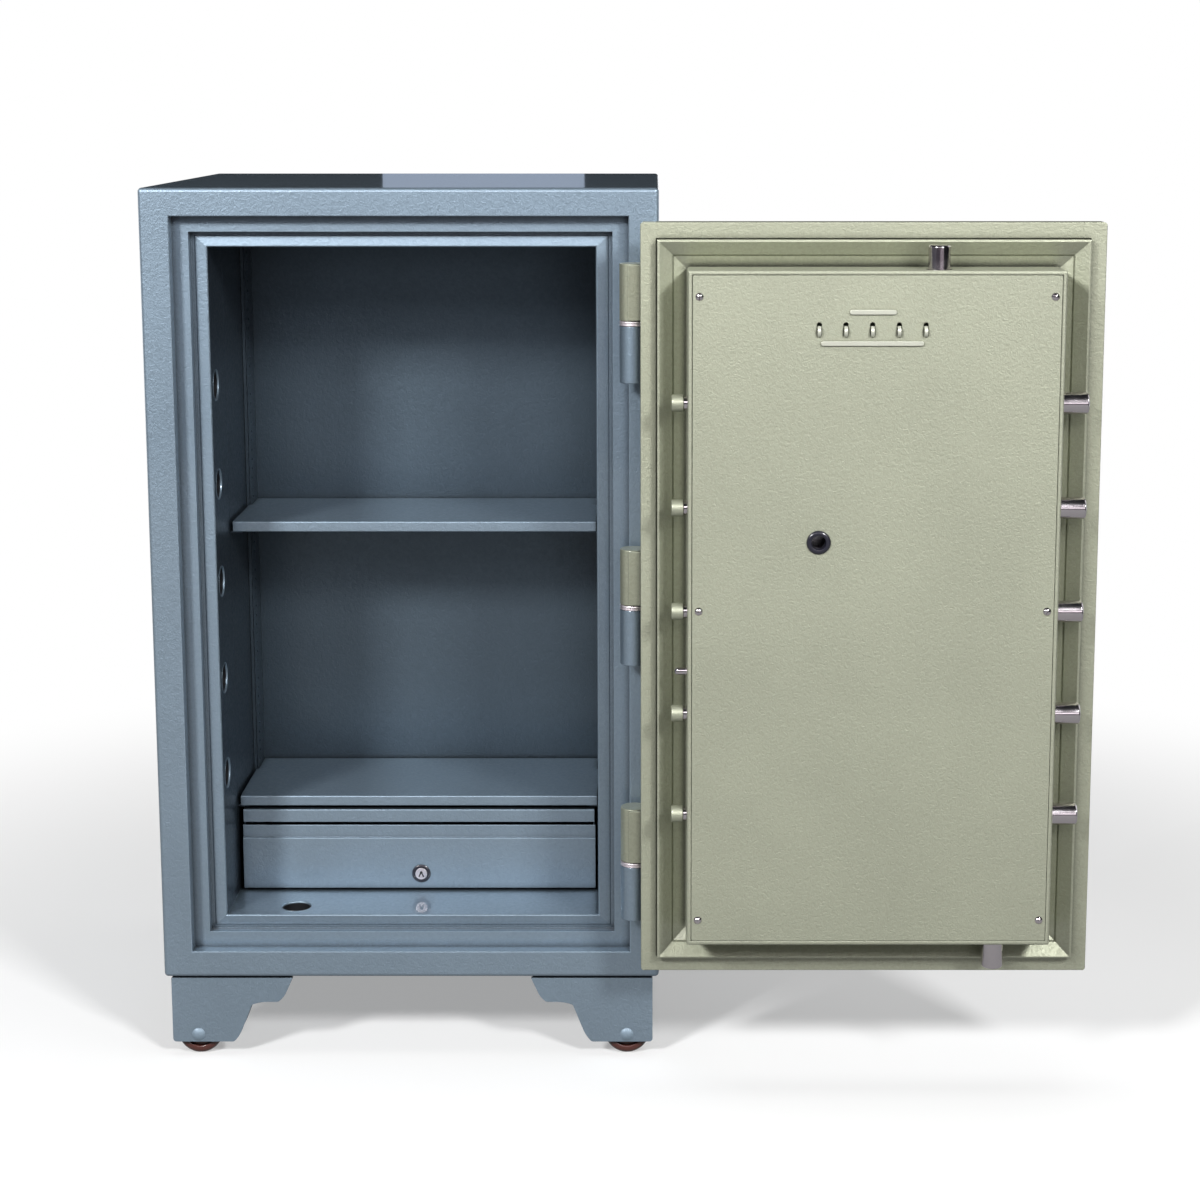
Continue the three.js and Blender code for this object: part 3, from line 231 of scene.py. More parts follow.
def block(low: Place, high: Place, radius: float = 0.0) -> BMesh:
    """Makes a box with rounded edges.

    Args:
        low: its lowest corner.
        high: its highest corner.
        radius: rounding of its edges.

    Returns:
        The box.
    """
    shape = bmesh.new()
    size = [b - a for a, b in zip(low, high)]
    middle = [(a + b) / 2 for a, b in zip(low, high)]
    bmesh.ops.create_cube(shape, size=1.0)
    transformed(shape, Matrix.Translation(middle) @ Matrix.Diagonal((*size, 1.0)))
    return rounded_edges(shape, radius, 2)


def turned(profile: Sequence[Point], start: Place, direction: Place, steps: int = 48) -> BMesh:
    """Turns a profile round an axis.

    Args:
        profile: pairs of radius and height. A profile that ends where it starts makes a ring.
        start: the point on the axis at height 0.
        direction: the axis, a unit vector.
        steps: flats round the axis.

    Returns:
        The turned shape.
    """
    shape = bmesh.new()
    closed = profile[0] == profile[-1]
    points = profile[:-1] if closed else profile
    verts = [shape.verts.new((radius, 0.0, height)) for radius, height in points]
    pairs = list(zip(verts, verts[1:]))
    if closed:
        pairs.append((verts[-1], verts[0]))
    edges = [shape.edges.new(pair) for pair in pairs]
    bmesh.ops.spin(
        shape,
        geom=verts + edges,
        cent=(0, 0, 0),
        axis=(0, 0, 1),
        angle=FULL_TURN,
        steps=steps,
        use_merge=True,
    )
    bmesh.ops.remove_doubles(shape, verts=shape.verts, dist=MERGE / 10)
    bmesh.ops.recalc_face_normals(shape, faces=shape.faces)
    turn = Vector((0, 0, 1)).rotation_difference(Vector(direction)).to_matrix().to_4x4()
    return transformed(shape, Matrix.Translation(start) @ turn)


def rod(radius: float, length: float, start: Place, direction: Place, steps: int = 48) -> BMesh:
    """Turns a plain rod.

    Args:
        radius: its radius.
        length: its length.
        start: the middle of the end that it starts from.
        direction: where it points, a unit vector.
        steps: flats round it.

    Returns:
        The rod.
    """
    return turned([(0, 0), (radius, 0), (radius, length), (0, length)], start, direction, steps)


def arc(middle: Point, radius: float, first: float, last: float, steps: int) -> list[Point]:
    """Points on an arc.

    Args:
        middle: its centre.
        radius: its radius.
        first: the angle it starts at, in degrees.
        last: the angle it ends at, in degrees.
        steps: straight lines in it.

    Returns:
        The points, from first to last.
    """
    angles = [math.radians(first + (last - first) * i / steps) for i in range(steps + 1)]
    return [(middle[0] + radius * math.cos(a), middle[1] + radius * math.sin(a)) for a in angles]


def dome(radius: float, height: float, share: float = 1.0, steps: int = 8) -> list[Point]:
    """Half the outline of a domed head, from its top outwards.

    Args:
        radius: the head's radius.
        height: the head's height.
        share: how much of the dome is given.
        steps: straight lines in it.

    Returns:
        Pairs of radius and depth under the top.
    """
    ball = (radius * radius + height * height) / (2 * height)
    reach = math.degrees(math.asin(radius / ball)) * share
    return [(0.0, 0.0), *arc((0.0, ball), ball, -90.0, -90.0 + reach, steps)[1:]]


def extruded(outline: Sequence[Corner], axis: str, start: float, end: float, steps: int = 5) -> BMesh:
    """Gives a flat outline a thickness.

    Args:
        outline: its corners in order, across and along.
        axis: the axis that it is drawn out along. Across and along are then y and z for "x",
            and x and z for "y".
        start: where it starts on that axis.
        end: where it ends on it.
        steps: flats in each rounded corner.

    Returns:
        The closed shape.
    """
    shape = bmesh.new()
    verts = [shape.verts.new((c.across, c.along, start)) for c in outline]
    shape.faces.new(verts)
    for vert, corner in zip(verts, outline):
        if corner.radius > 0:
            bmesh.ops.bevel(
                shape,
                geom=[vert],
                offset=corner.radius,
                offset_type="OFFSET",
                segments=steps,
                profile=0.5,
                affect="VERTICES",
                clamp_overlap=True,
                material=-1,
            )
    thickened(shape, end - start)
    lie = {
        "x": Matrix(((0, 0, 1, 0), (1, 0, 0, 0), (0, 1, 0, 0), (0, 0, 0, 1))),
        "y": Matrix(((1, 0, 0, 0), (0, 0, 1, 0), (0, 1, 0, 0), (0, 0, 0, 1))),
    }[axis]
    transformed(shape, lie)
    bmesh.ops.recalc_face_normals(shape, faces=shape.faces)
    return shape


def round_ended(left: float, right: float, low: float, high: float) -> list[Corner]:
    """Outline of a slot or a rib with round ends.

    Args:
        left: where it starts across.
        right: where it ends across.
        low: where it starts along.
        high: where it ends along.

    Returns:
        Its corners.
    """
    radius = min(right - left, high - low) / 2 - 0.05
    return [Corner(x, z, radius) for x, z in ((left, low), (right, low), (right, high), (left, high))]


def span(side: int, near: float, far: float) -> Point:
    """The stretch between two distances from the middle at side -1 or 1, lowest first."""
    return (near, far) if side > 0 else (-far, -near)


def framed(stations: Sequence[Station], middle_z: float, ring: bool = False) -> BMesh:
    """Draws an upright rectangle out from station to station, with mitred corners.

    Args:
        stations: the rectangles in order.
        middle_z: height of their middle.
        ring: whether the last joins the first. Otherwise both ends are closed.

    Returns:
        The closed shape.
    """
    shape = bmesh.new()
    held = stations[0]
    corners = bmesh.ops.create_grid(shape, x_segments=1, y_segments=1, size=1.0)["verts"]
    stand = Matrix.Translation((0.0, held.depth, 0.0)) @ Matrix.Rotation(RIGHT_ANGLE, 4, "X")
    size = Matrix.Diagonal((held.half_width, held.half_height, 1.0, 1.0))
    bmesh.ops.transform(shape, matrix=stand @ size, verts=corners)
    loop = list(shape.edges)
    bmesh.ops.delete(shape, geom=list(shape.faces), context="FACES_ONLY")
    ends = [loop]
    for station in [*stations[1:], stations[0]] if ring else stations[1:]:
        drawn = bmesh.ops.extrude_edge_only(shape, edges=loop)["geom"]
        verts = [item for item in drawn if isinstance(item, BMVert)]
        loop = [item for item in drawn if isinstance(item, BMEdge)]
        wider = station.half_width / held.half_width
        taller = station.half_height / held.half_height
        bmesh.ops.scale(shape, vec=(wider, 1.0, taller), verts=verts)
        bmesh.ops.translate(shape, vec=(0.0, station.depth - held.depth, 0.0), verts=verts)
        held = station
    if ring:
        bmesh.ops.remove_doubles(shape, verts=shape.verts, dist=MERGE)
    else:
        ends.append(loop)
        for end in ends:
            bmesh.ops.edgeloop_fill(shape, edges=end)
    transformed(shape, Matrix.Translation((0.0, 0.0, middle_z)))
    bmesh.ops.recalc_face_normals(shape, faces=shape.faces)
    return shape


def mesh_data(shape: BMesh, name: str) -> bpy.types.Mesh:
    """Turns a shape into mesh data.

    Args:
        shape: the shape, which is used up.
        name: name of the data.

    Returns:
        The data.
    """
    data = bpy.data.meshes.new(name)
    shape.to_mesh(data)
    shape.free()
    return data


def poured(target: BMesh, shape: BMesh) -> None:
    """Adds a shape to another.

    Args:
        target: the shape that grows.
        shape: the shape that is added and used up.
    """
    carrier = mesh_data(shape, "carrier")
    target.from_mesh(carrier)
    bpy.data.meshes.remove(carrier)


def placed(name: str, data: bpy.types.ID) -> bpy.types.Object:
    """Puts an object into the scene.

    Args:
        name: its name.
        data: its mesh, lamp or camera data.

    Returns:
        The object.
    """
    item = bpy.data.objects.new(name, data)
    bpy.context.scene.collection.objects.link(item)
    return item


def linear(code: str, shade: float = 1.0) -> Color:
    """Turns a colour code into a linear colour.

    Args:
        code: six hexadecimal digits.
        shade: what the colour is multiplied by.

    Returns:
        Red, green, blue and alpha.
    """
    parts = [int(code[i : i + 2], 16) / 255 for i in (0, 2, 4)]
    channels = [c / 12.92 if c <= 0.04045 else ((c + 0.055) / 1.055) ** 2.4 for c in parts]
    return (*(min(1.0, c * shade) for c in channels), 1.0)


class NodeSheet:
    """The nodes of a material or of the world while they are being laid out."""

    def __init__(self, owner: bpy.types.Material | bpy.types.World, output: str) -> None:
        """Clears the owner's nodes.

        Args:
            owner: the material or world.
            output: the Blender type of its output node.
        """
        owner.use_nodes = True
        self.owner = owner
        self.tree = owner.node_tree
        self.tree.nodes.clear()
        self.output = self.tree.nodes.new(output)

    @classmethod
    def material(cls, name: str) -> "NodeSheet":
        """Starts a material of that name."""
        return cls(bpy.data.materials.new(name), "ShaderNodeOutputMaterial")

    def node(
        self, kind: str, inputs: dict[str | int, object] | None = None, **settings: object
    ) -> bpy.types.Node:
        """Adds a node.

        Args:
            kind: its Blender type.
            inputs: values or output sockets for its inputs, by name or number.
            **settings: its own settings.

        Returns:
            The node.
        """
        made = self.tree.nodes.new(kind)
        for key, value in settings.items():
            setattr(made, key, value)
        for key, value in (inputs or {}).items():
            socket = made.inputs[key]
            if isinstance(value, Socket):
                self.tree.links.new(value, socket)
            else:
                socket.default_value = value
        return made

    def place(self) -> Socket:
        """Returns the object coordinates that patterns are read from."""
        return self.node("ShaderNodeTexCoord").outputs["Object"]

    def noise(
        self,
        place: Socket,
        per_metre: float,
        detail: float,
        roughness: float = 0.5,
        distortion: float = 0.0,
    ) -> Socket:
        """Adds a cloudy pattern.

        Args:
            place: where it is read.
            per_metre: how many clouds lie in a metre.
            detail: how many finer layers it has.
            roughness: how strong the finer layers are.
            distortion: how much it is stirred.

        Returns:
            Its value.
        """
        inputs = {
            "Vector": place,
            "Scale": per_metre,
            "Detail": detail,
            "Roughness": roughness,
            "Distortion": distortion,
        }
        return self.node("ShaderNodeTexNoise", inputs).outputs["Fac"]

    def shades(self, value: Socket, ends: Point, colors: tuple[Color, Color]) -> Socket:
        """Adds a run of shades between two colours.

        Args:
            value: what the shade follows.
            ends: the values at which the colours are reached.
            colors: the colours.

        Returns:
            The shade.
        """
        ramp = self.node("ShaderNodeValToRGB", {"Fac": value})
        for element, position, color in zip(ramp.color_ramp.elements, ends, colors):
            element.position = position
            element.color = color
        return ramp.outputs["Color"]

    def stretched(
        self, value: Socket, old: Point, new: Point, curve: str = "LINEAR"
    ) -> Socket:
        """Stretches one range of values to another.

        Args:
            value: the value.
            old: the range that it has.
            new: the range that it gets.
            curve: Blender's name of the way from one end to the other.

        Returns:
            The new value.
        """
        inputs = {"Value": value, "From Min": old[0], "From Max": old[1], "To Min": new[0], "To Max": new[1]}
        return self.node("ShaderNodeMapRange", inputs, interpolation_type=curve).outputs[0]

    def relief(self, height: Socket, depth: float, strength: float = 1.0) -> Socket:
        """Adds relief of a depth in millimetres."""
        inputs = {"Strength": strength, "Distance": depth * MM, "Height": height}
        return self.node("ShaderNodeBump", inputs).outputs["Normal"]

    def glow(self, color: Color, strength: float | Socket) -> Socket:
        """Adds an even glow of a colour."""
        return self.node("ShaderNodeEmission", {"Color": color, "Strength": strength}).outputs[0]

    def surface(self, shader: Socket) -> bpy.types.Material | bpy.types.World:
        """Ends the nodes with what the surface shows, and returns their owner."""
        self.tree.links.new(shader, self.output.inputs["Surface"])
        return self.owner

    def skin(self, inputs: dict[str, object]) -> bpy.types.Material:
        """Ends the nodes with a skin that has those inputs, and returns the material."""
        return self.surface(self.node("ShaderNodeBsdfPrincipled", inputs).outputs["BSDF"])


@dataclass(frozen=True)
class PebbledEnamel:
    """Baked enamel with an embossed, leathery skin and a little metal in it.

    Attributes:
        name: name of the material.
        color: its colour code.
        roughness: roughness of its skin.
        metal: share of metal in it.
        coat: weight of the gloss on top.
        coat_roughness: roughness of that gloss.
        grain: width of the embossing, in millimetres.
        relief: height of the embossing, in millimetres.
        mottle: how much the colour varies, as a share.
        nook: how far apart two faces are that shade each other, in millimetres.
        painted_shade: how much darker the colour is painted in the tightest nooks, as a share, to stand for
            their shade.
        grit: how many times finer the fine layer of the embossing is.
        grit_share: how much the fine layer adds.
        clouds: how many clouds of colour lie in a metre.
        uneven: how much the roughness varies to either side.
    """

    name: str
    color: str
    roughness: float = 0.45
    metal: float = 0.35
    coat: float = 1.0
    coat_roughness: float = 0.08
    grain: float = 4.5
    relief: float = 0.10
    mottle: float = 0.05
    nook: float = 16.0
    painted_shade: float = 0.55
    grit: float = 3.2
    grit_share: float = 0.22
    clouds: float = 7.0
    uneven: float = 0.05

    def material(self) -> bpy.types.Material:
        """Lays out the enamel's nodes.

        Returns:
            The material, with its embossing in colour, gloss and relief, and shade painted into its colour in
            the nooks.
        """
        sheet = NodeSheet.material(self.name)
        place = sheet.place()
        grains = 1 / (self.grain * MM)
        worms = sheet.noise(place, grains, 1.5, 0.4, 0.9)
        grit = sheet.noise(place, self.grit * grains, 2.0)
        height = sheet.node("ShaderNodeMix", {"Factor": self.grit_share, "A": worms, "B": grit}).outputs[0]
        clouds = sheet.noise(place, self.clouds, 3.0)
        tone = sheet.node("ShaderNodeMix", {"Factor": 0.5, "A": height, "B": clouds}).outputs[0]
        ends = linear(self.color, 1 - self.mottle), linear(self.color, 1 + self.mottle)
        shades = sheet.shades(tone, (0.38, 0.62), ends)
        # Painted shade: ambient occlusion darkens the colour in nooks, creases and corners, where shade
        # falls.
        nook = sheet.node("ShaderNodeAmbientOcclusion", {"Distance": self.nook * MM}, samples=6)
        painted_shade = sheet.stretched(nook.outputs["AO"], (0.3, 0.9), (1 - self.painted_shade, 1.0))
        color = sheet.node("ShaderNodeVectorMath", {0: shades, 1: painted_shade}, operation="MULTIPLY")
        rough = self.roughness + self.uneven, self.roughness - self.uneven
        # The pattern spans a quarter of its range, so four times its height gives the relief.
        return sheet.skin(
            {
                "Base Color": color.outputs["Vector"],
                "Metallic": self.metal,
                "Roughness": sheet.stretched(height, (0.35, 0.65), rough),
                "Coat Weight": self.coat,
                "Coat Roughness": self.coat_roughness,
                "Normal": sheet.relief(height, 4 * self.relief),
            }
        )


@dataclass(frozen=True)
class BrightMetal:
    """Plated or turned metal with fine scratches.

    Attributes:
        name: name of the material.
        color: its colour code.
        roughness: roughness of the plating.
        relief: depth of the scratches, in millimetres.
        scratch: distance between the scratches, in millimetres.
        smudges: how many smudges lie in a metre.
    """

    name: str
    color: str
    roughness: float = 0.16
    relief: float = 0.004
    scratch: float = 1.2
    smudges: float = 60.0

    def material(self) -> bpy.types.Material:
        """Lays out the metal's nodes.

        Returns:
            The material, with faint scratches and smudges in its gloss.
        """
        sheet = NodeSheet.material(self.name)
        place = sheet.place()
        fine = sheet.noise(place, 1 / (self.scratch * MM), 4.0)
        smudge = sheet.noise(place, self.smudges, 2.0)
        rough = 0.8 * self.roughness, 1.35 * self.roughness
        ends = linear(self.color, 0.94), linear(self.color)
        return sheet.skin(
            {
                "Base Color": sheet.shades(fine, (0.35, 0.65), ends),
                "Metallic": 1.0,
                "Roughness": sheet.stretched(smudge, (0.3, 0.7), rough),
                "Normal": sheet.relief(fine, self.relief, 0.6),
            }
        )


@dataclass(frozen=True)
class Moulded:
    """Plastic, black finish or cast fill: a grained surface without metal.

    Attributes:
        name: name of the material.
        color: its colour code.
        roughness: roughness of its skin.
        coat: weight of the gloss on top.
        grain: size of the grain, in millimetres.
        relief: depth of the grain, in millimetres.
        mottle: how much the colour varies, as a share.
    """

    name: str
    color: str
    roughness: float = 0.3
    coat: float = 0.0
    grain: float = 1.5
    relief: float = 0.02
    mottle: float = 0.12

    def material(self) -> bpy.types.Material:
        """Lays out the nodes.

        Returns:
            The material, with its grain in colour and relief.
        """
        sheet = NodeSheet.material(self.name)
        grain = sheet.noise(sheet.place(), 1 / (self.grain * MM), 4.0)
        ends = linear(self.color, 1 - self.mottle), linear(self.color, 1 + self.mottle)
        return sheet.skin(
            {
                "Base Color": sheet.shades(grain, (0.3, 0.7), ends),
                "Roughness": self.roughness,
                "Coat Weight": self.coat,
                "Coat Roughness": 0.1,
                "Normal": sheet.relief(grain, self.relief),
            }
        )


BLUE_GREY = "8293A1"


class Finish(Enum):
    """Every finish on the safe."""

    SHELL = PebbledEnamel("blue_grey_gloss_enamel", BLUE_GREY, 0.5, 0.8, nook=8.0, painted_shade=0.7)
    BODY = PebbledEnamel(
        "blue_grey_enamel", BLUE_GREY, 0.5, 0.8, coat=0.9, coat_roughness=0.05, nook=12.0, painted_shade=0.85,
    )
    # A darker copy of the blue-grey enamel for the inside of the cavity, which paints the shade inside into
    # its colour.
    INSIDE = PebbledEnamel(
        "blue_grey_shaded_inside_enamel", "55636E", roughness=0.48, metal=0.9, coat=0.3, coat_roughness=0.15,
        relief=0.06, nook=90.0, painted_shade=0.5,
    )
    # A still darker copy of the enamel for the inner side walls, which paints the shade on the walls that
    # face sideways.
    WALL = PebbledEnamel(
        "blue_grey_shaded_wall_enamel", "4B5660", roughness=0.42, metal=0.95, coat=0.2, coat_roughness=0.15,
        relief=0.05, nook=60.0, painted_shade=0.5,
    )
    AXLE = PebbledEnamel(
        "blue_grey_axle_enamel", "7C8D9B", 0.55, 0.4, coat=0.2, coat_roughness=0.2, relief=0.03,
        nook=6.0,
    )
    DOOR = PebbledEnamel(
        "sage_green_enamel", "A4A794", roughness=0.56, metal=0.8, coat=0.6, coat_roughness=0.12,
        relief=0.11, nook=10.0, painted_shade=0.8,
    )
    COVER = PebbledEnamel(
        "sage_green_leather_enamel", "A0A391", roughness=0.6, metal=0.72, coat=0.3, coat_roughness=0.22,
        grain=3.2, relief=0.13, nook=7.0,
    )
    # A paler copy of the green for the hooks and ribs, which paints the light that their raised forms catch.
    PALE = PebbledEnamel(
        "pale_sage_highlight_enamel", "C2C4B6", 0.42, 0.5, coat=0.8, coat_roughness=0.1, relief=0.02, nook=4.0,
    )
    CHROME = BrightMetal("bright_chrome", "CDC7CB", roughness=0.15)
    SATIN = BrightMetal("satin_nickel", "E4DCE0", roughness=0.42)
    STEEL = BrightMetal("turned_steel", "A2A2A4", roughness=0.24, relief=0.01)
    BLACK = Moulded("black_lock_enamel", "1B1B26", roughness=0.28, coat=0.3)
    WHEEL = Moulded("oxblood_wheel_plastic", "4A2620", roughness=0.25, coat=0.5)
    CAST = Moulded("cast_fire_fill", "9B968A", roughness=0.95, grain=4.0, relief=0.3)
    DIAL = Moulded("black_dial_enamel", "17181B", roughness=0.35)
    WHITE = Moulded("white_dial_marks", "E6E6E2", roughness=0.5, mottle=0.02)

    def made(self) -> bpy.types.Material:
        """Returns this finish as a material, made once."""
        return bpy.data.materials.get(self.value.name) or self.value.material()


@dataclass
class Workpiece:
    """A piece while it is being made on its drawing, in millimetres.

    Attributes:
        name: name of the finished piece.
        body: the body that it moves with.
        drawing: the drawing that it is made on.
        slot: the record's material slot; it is not used.
        replaces: the solids that it stands for.
        finishes: its finishes, in the order in which they come on.
        mesh: its shape so far.
    """

    name: str
    body: str
    drawing: Drawing
    slot: str
    replaces: tuple[str, ...] = ()
    finishes: list[Finish] = field(default_factory=list)
    mesh: BMesh = field(default_factory=bmesh.new)

    def number(self, finish: Finish) -> int:
        """The number that a finish has on this piece.

        Args:
            finish: the finish, which is put on the list if it is new.

        Returns:
            Its number.
        """
        if finish not in self.finishes:
            self.finishes.append(finish)
        return self.finishes.index(finish)

    def add(self, shape: BMesh, finish: Finish) -> "Workpiece":
        """Adds a shape to the piece.

        Args:
            shape: the shape, which is used up.
            finish: the finish on it.

        Returns:
            The piece.
        """
        for face in shape.faces:
            face.material_index = self.number(finish)
        poured(self.mesh, shape)
        return self

    def cut(self, cutters: Iterable[BMesh]) -> "Workpiece":
        """Cuts shapes out of the piece.

        Args:
            cutters: the closed shapes that are cut away, which are used up.

        Returns:
            The piece.
        """
        tool = bmesh.new()
        for cutter in cutters:
            poured(tool, cutter)
        items = [placed("blank", mesh_data(self.mesh, "blank")), placed("tool", mesh_data(tool, "tool"))]
        modifier = items[0].modifiers.new("cut", "BOOLEAN")
        modifier.object = items[1]
        modifier.operation = "DIFFERENCE"
        modifier.solver = "EXACT"
        bpy.context.view_layer.update()
        evaluated = items[0].evaluated_get(bpy.context.evaluated_depsgraph_get())
        result = bpy.data.meshes.new_from_object(evaluated)
        self.mesh = bmesh.new()
        self.mesh.from_mesh(result)
        used = [result, *(item.data for item in items)]
        for item in items:
            bpy.data.objects.remove(item)
        for data in used:
            bpy.data.meshes.remove(data)
        bmesh.ops.remove_doubles(self.mesh, verts=self.mesh.verts, dist=MERGE)
        level = math.radians(0.5)
        bmesh.ops.dissolve_limit(self.mesh, angle_limit=level, verts=self.mesh.verts, edges=self.mesh.edges)
        return self

    def paint(self, finish: Finish, where: Callable[[BMFace], bool]) -> "Workpiece":
        """Gives some faces of the piece another finish.

        Args:
            finish: the finish.
            where: which faces it comes on.

        Returns:
            The piece.
        """
        self.mesh.normal_update()
        for face in self.mesh.faces:
            if where(face):
                face.material_index = self.number(finish)
        return self

    def finished(self) -> None:
        """Places the piece on the safe and makes it ride, stand for its solids and wear its finishes."""
        data = mesh_data(transformed(self.mesh, self.drawing.matrix()), self.name)
        data.shade_smooth()
        data.set_sharp_from_angle(angle=math.radians(SHARP_FROM))
        for finish in self.finishes:
            data.materials.append(finish.made())
        piece = placed(self.name, data)
        weighted = piece.modifiers.new("flat faces stay flat", "WEIGHTED_NORMAL")
        weighted.keep_sharp = True
        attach(piece, self.body)
        if self.replaces:
            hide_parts(*self.replaces)
        LOG.info("%s: %d faces on %s", self.name, len(data.polygons), self.body)


def dress(node: str, finish: Finish) -> None:
    """Gives a solid that stays a finish.

    Args:
        node: the solid's name.
        finish: the finish.
    """
    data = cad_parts[node].data
    if not data.materials:
        data.materials.append(finish.made())
    for number in range(len(data.materials)):
        data.materials[number] = finish.made()
    LOG.info("%s: %s", node, finish.value.name)


@dataclass(frozen=True)
class Strike:
    """A hole that a bolt or pin enters: its radius and depth, its middle on the wall and its direction."""

    radius: float
    depth: float
    place: Place
    direction: Place


@dataclass
class SafeBody:
    """The painted box with its rim, stepped doorway and lining."""

    half_height: float = 475.5
    sheet: float = 4.0
    edge: float = 5.0
    rim_edge: float = 1.8
    doorway_edge: float = 1.6
    side_rim: float = 35.4
    top_rim: float = 32.7
    jamb_depth: float = 18.0
    tuck: float = 12.0
    step: float = 18.7
    step_lean: float = 0.8
    step_back: float = 1.7
    groove: float = 5.3
    groove_floor: float = 30.0
    groove_lean: float = 0.6
    lip_outer: float = 29.4
    lip_inner: float = 27.4
    lip_edge: float = 1.4
    side_lip: float = 14.4
    top_lip: float = 12.9
    fold_edge: float = 0.55
    casing: float = 5.0
    casing_end: float = 119.7
    back_wall: float = 295.0
    lining_sheet: float = 2.0
    lining_corner: float = 3.0
    strike_y: float = 57.5
    strike_size: Point = (18.5, 20.0)
    pin_strike_size: Point = (14.0, 8.0)
    collar_wall: float = 1.3
    collar_length: float = 2.0

    @property
    def doorway(self) -> Point:
        """Half the width and height of the doorway."""
        return PLAN.half_width - self.side_rim, self.half_height - self.top_rim

    @property
    def cavity(self) -> Point:
        """The size of the inside.

        Returns:
            Half its width and half its height.
        """
        width, height = self.doorway
        step = self.step + self.groove
        return width - step - self.side_lip, height - step - self.top_lip

    @property
    def bottom(self) -> float:
        """Height of the underside."""
        return PLAN.middle_z - self.half_height

    @property
    def floor(self) -> float:
        """Height of the floor inside."""
        return PLAN.middle_z - self.cavity[1]

    @property
    def roof(self) -> float:
        """Height of the roof inside."""
        return PLAN.middle_z + self.cavity[1]

    def strikes(self) -> list[Strike]:
        """Places the strikes.

        Returns:
            Those of the side bolts and pins, then those at the top and the bottom.
        """
        wall = self.cavity[0]
        found = []
        for z in PLAN.bolt_row:
            found.append(Strike(*self.strike_size, (-wall, self.strike_y, z), LEFT))
            found.append(Strike(*self.pin_strike_size, (wall, PLAN.bolt_y, z), RIGHT))
        found.append(Strike(*self.strike_size, (PLAN.top_bolt_x, self.strike_y, self.roof), UP))
        found.append(Strike(*self.strike_size, (PLAN.bottom_bolt_x, self.strike_y, self.floor), DOWN))
        return found

    def frame_station(self, inset: float, depth: float, lip_share: float = 0.0) -> Station:
        """One rectangle of the stepped doorway.

        Args:
            inset: distance inwards from the doorway's edge.
            depth: its depth.
            lip_share: 1 where the narrower top lip counts, else 0.

        Returns:
            The rectangle.
        """
        width, height = self.doorway
        trim = lip_share * (self.side_lip - self.top_lip)
        return Station(width - inset, height - inset + trim, depth)

    def shell(self) -> None:
        """Builds the outer box with its rim and jamb."""
        width, height = self.doorway
        sheet = self.sheet
        outer = (PLAN.half_width, self.half_height)
        inner = (PLAN.half_width - sheet, self.half_height - sheet)
        shape = framed(
            [
                Station(*inner, PLAN.depth - sheet),
                Station(*inner, sheet),
                Station(width + sheet, height + sheet, sheet),
                Station(width + sheet, height + sheet, self.jamb_depth),
                Station(width, height, self.jamb_depth),
                Station(width, height, 0.0),
                Station(*outer, 0.0),
                Station(*outer, PLAN.depth),
            ],
            PLAN.middle_z,
        )

        def at_corner(place: Vector) -> bool:
            """Whether a place lies on an outer corner of the box."""
            return abs(place.x) > outer[0] - NEAR and abs(place.z - PLAN.middle_z) > outer[1] - NEAR

        def on_doorway(edge: BMEdge) -> bool:
            """Whether an edge lies on the front of the doorway."""
            return lies(edge, lambda p: p.y < NEAR and abs(p.x) < width + NEAR)

        def on_rim(edge: BMEdge) -> bool:
            """Whether an edge runs round the front or the back of the box."""
            level = lies(edge, lambda p: p.y < NEAR) or lies(edge, lambda p: p.y > PLAN.depth - NEAR)
            return level and not on_doorway(edge)

        rounded_edges(shape, self.edge, 6, lambda e: lies(e, at_corner))
        rounded_edges(shape, self.rim_edge, 4, on_rim)
        rounded_edges(shape, self.doorway_edge, 4, on_doorway)
        piece = Workpiece("painted_shell", "safe_body", Drawing.BODY, "body_paint", ("outer_shell",))
        piece.add(shape, Finish.SHELL).finished()

    def stepped_frame(self) -> None:
        """Builds the folded frame of the doorway with its strike holes."""
        lip = self.step + self.groove
        wall = lip + self.side_lip
        back = self.jamb_depth + self.sheet
        under = self.groove_floor + 1.0
        at = self.frame_station
        shape = framed(
            [
                at(-self.tuck, self.jamb_depth),
                at(self.step, self.jamb_depth),
                at(self.step + self.step_lean, self.groove_floor),
                at(lip - self.groove_lean, self.groove_floor),
                at(lip, self.lip_outer),
                at(wall - self.lip_edge, self.lip_inner, 1),
                at(wall, self.lip_inner + self.lip_edge, 1),
                at(wall, self.casing_end, 1),
                at(wall - self.casing, self.casing_end, 1),
                at(wall - self.casing, under, 1),
                at(self.step - self.step_back, under),
                at(self.step - self.sheet, back),
                at(-self.tuck, back),
            ],
            PLAN.middle_z,
            ring=True,
        )
        rounded_edges(shape, self.fold_edge, 3, sharper_than=8)
        piece = Workpiece("stepped_doorway", "safe_body", Drawing.BODY, "body_paint", ("door_frame",))
        piece.add(shape, Finish.BODY)
        cutters = []
        for strike in self.strikes():
            start = tuple(p - OVER * d for p, d in zip(strike.place, strike.direction))
            cutters.append(rod(strike.radius, self.casing + 2 * OVER, start, strike.direction))
        piece.cut(cutters)
        front = self.lip_outer
        # Painted shade: the casing's sideways-facing faces behind the lip take the darker side-wall enamel.
        piece.paint(Finish.WALL, lambda f: abs(f.normal.x) > 0.95 and f.calc_center_median().y > front)
        piece.finished()

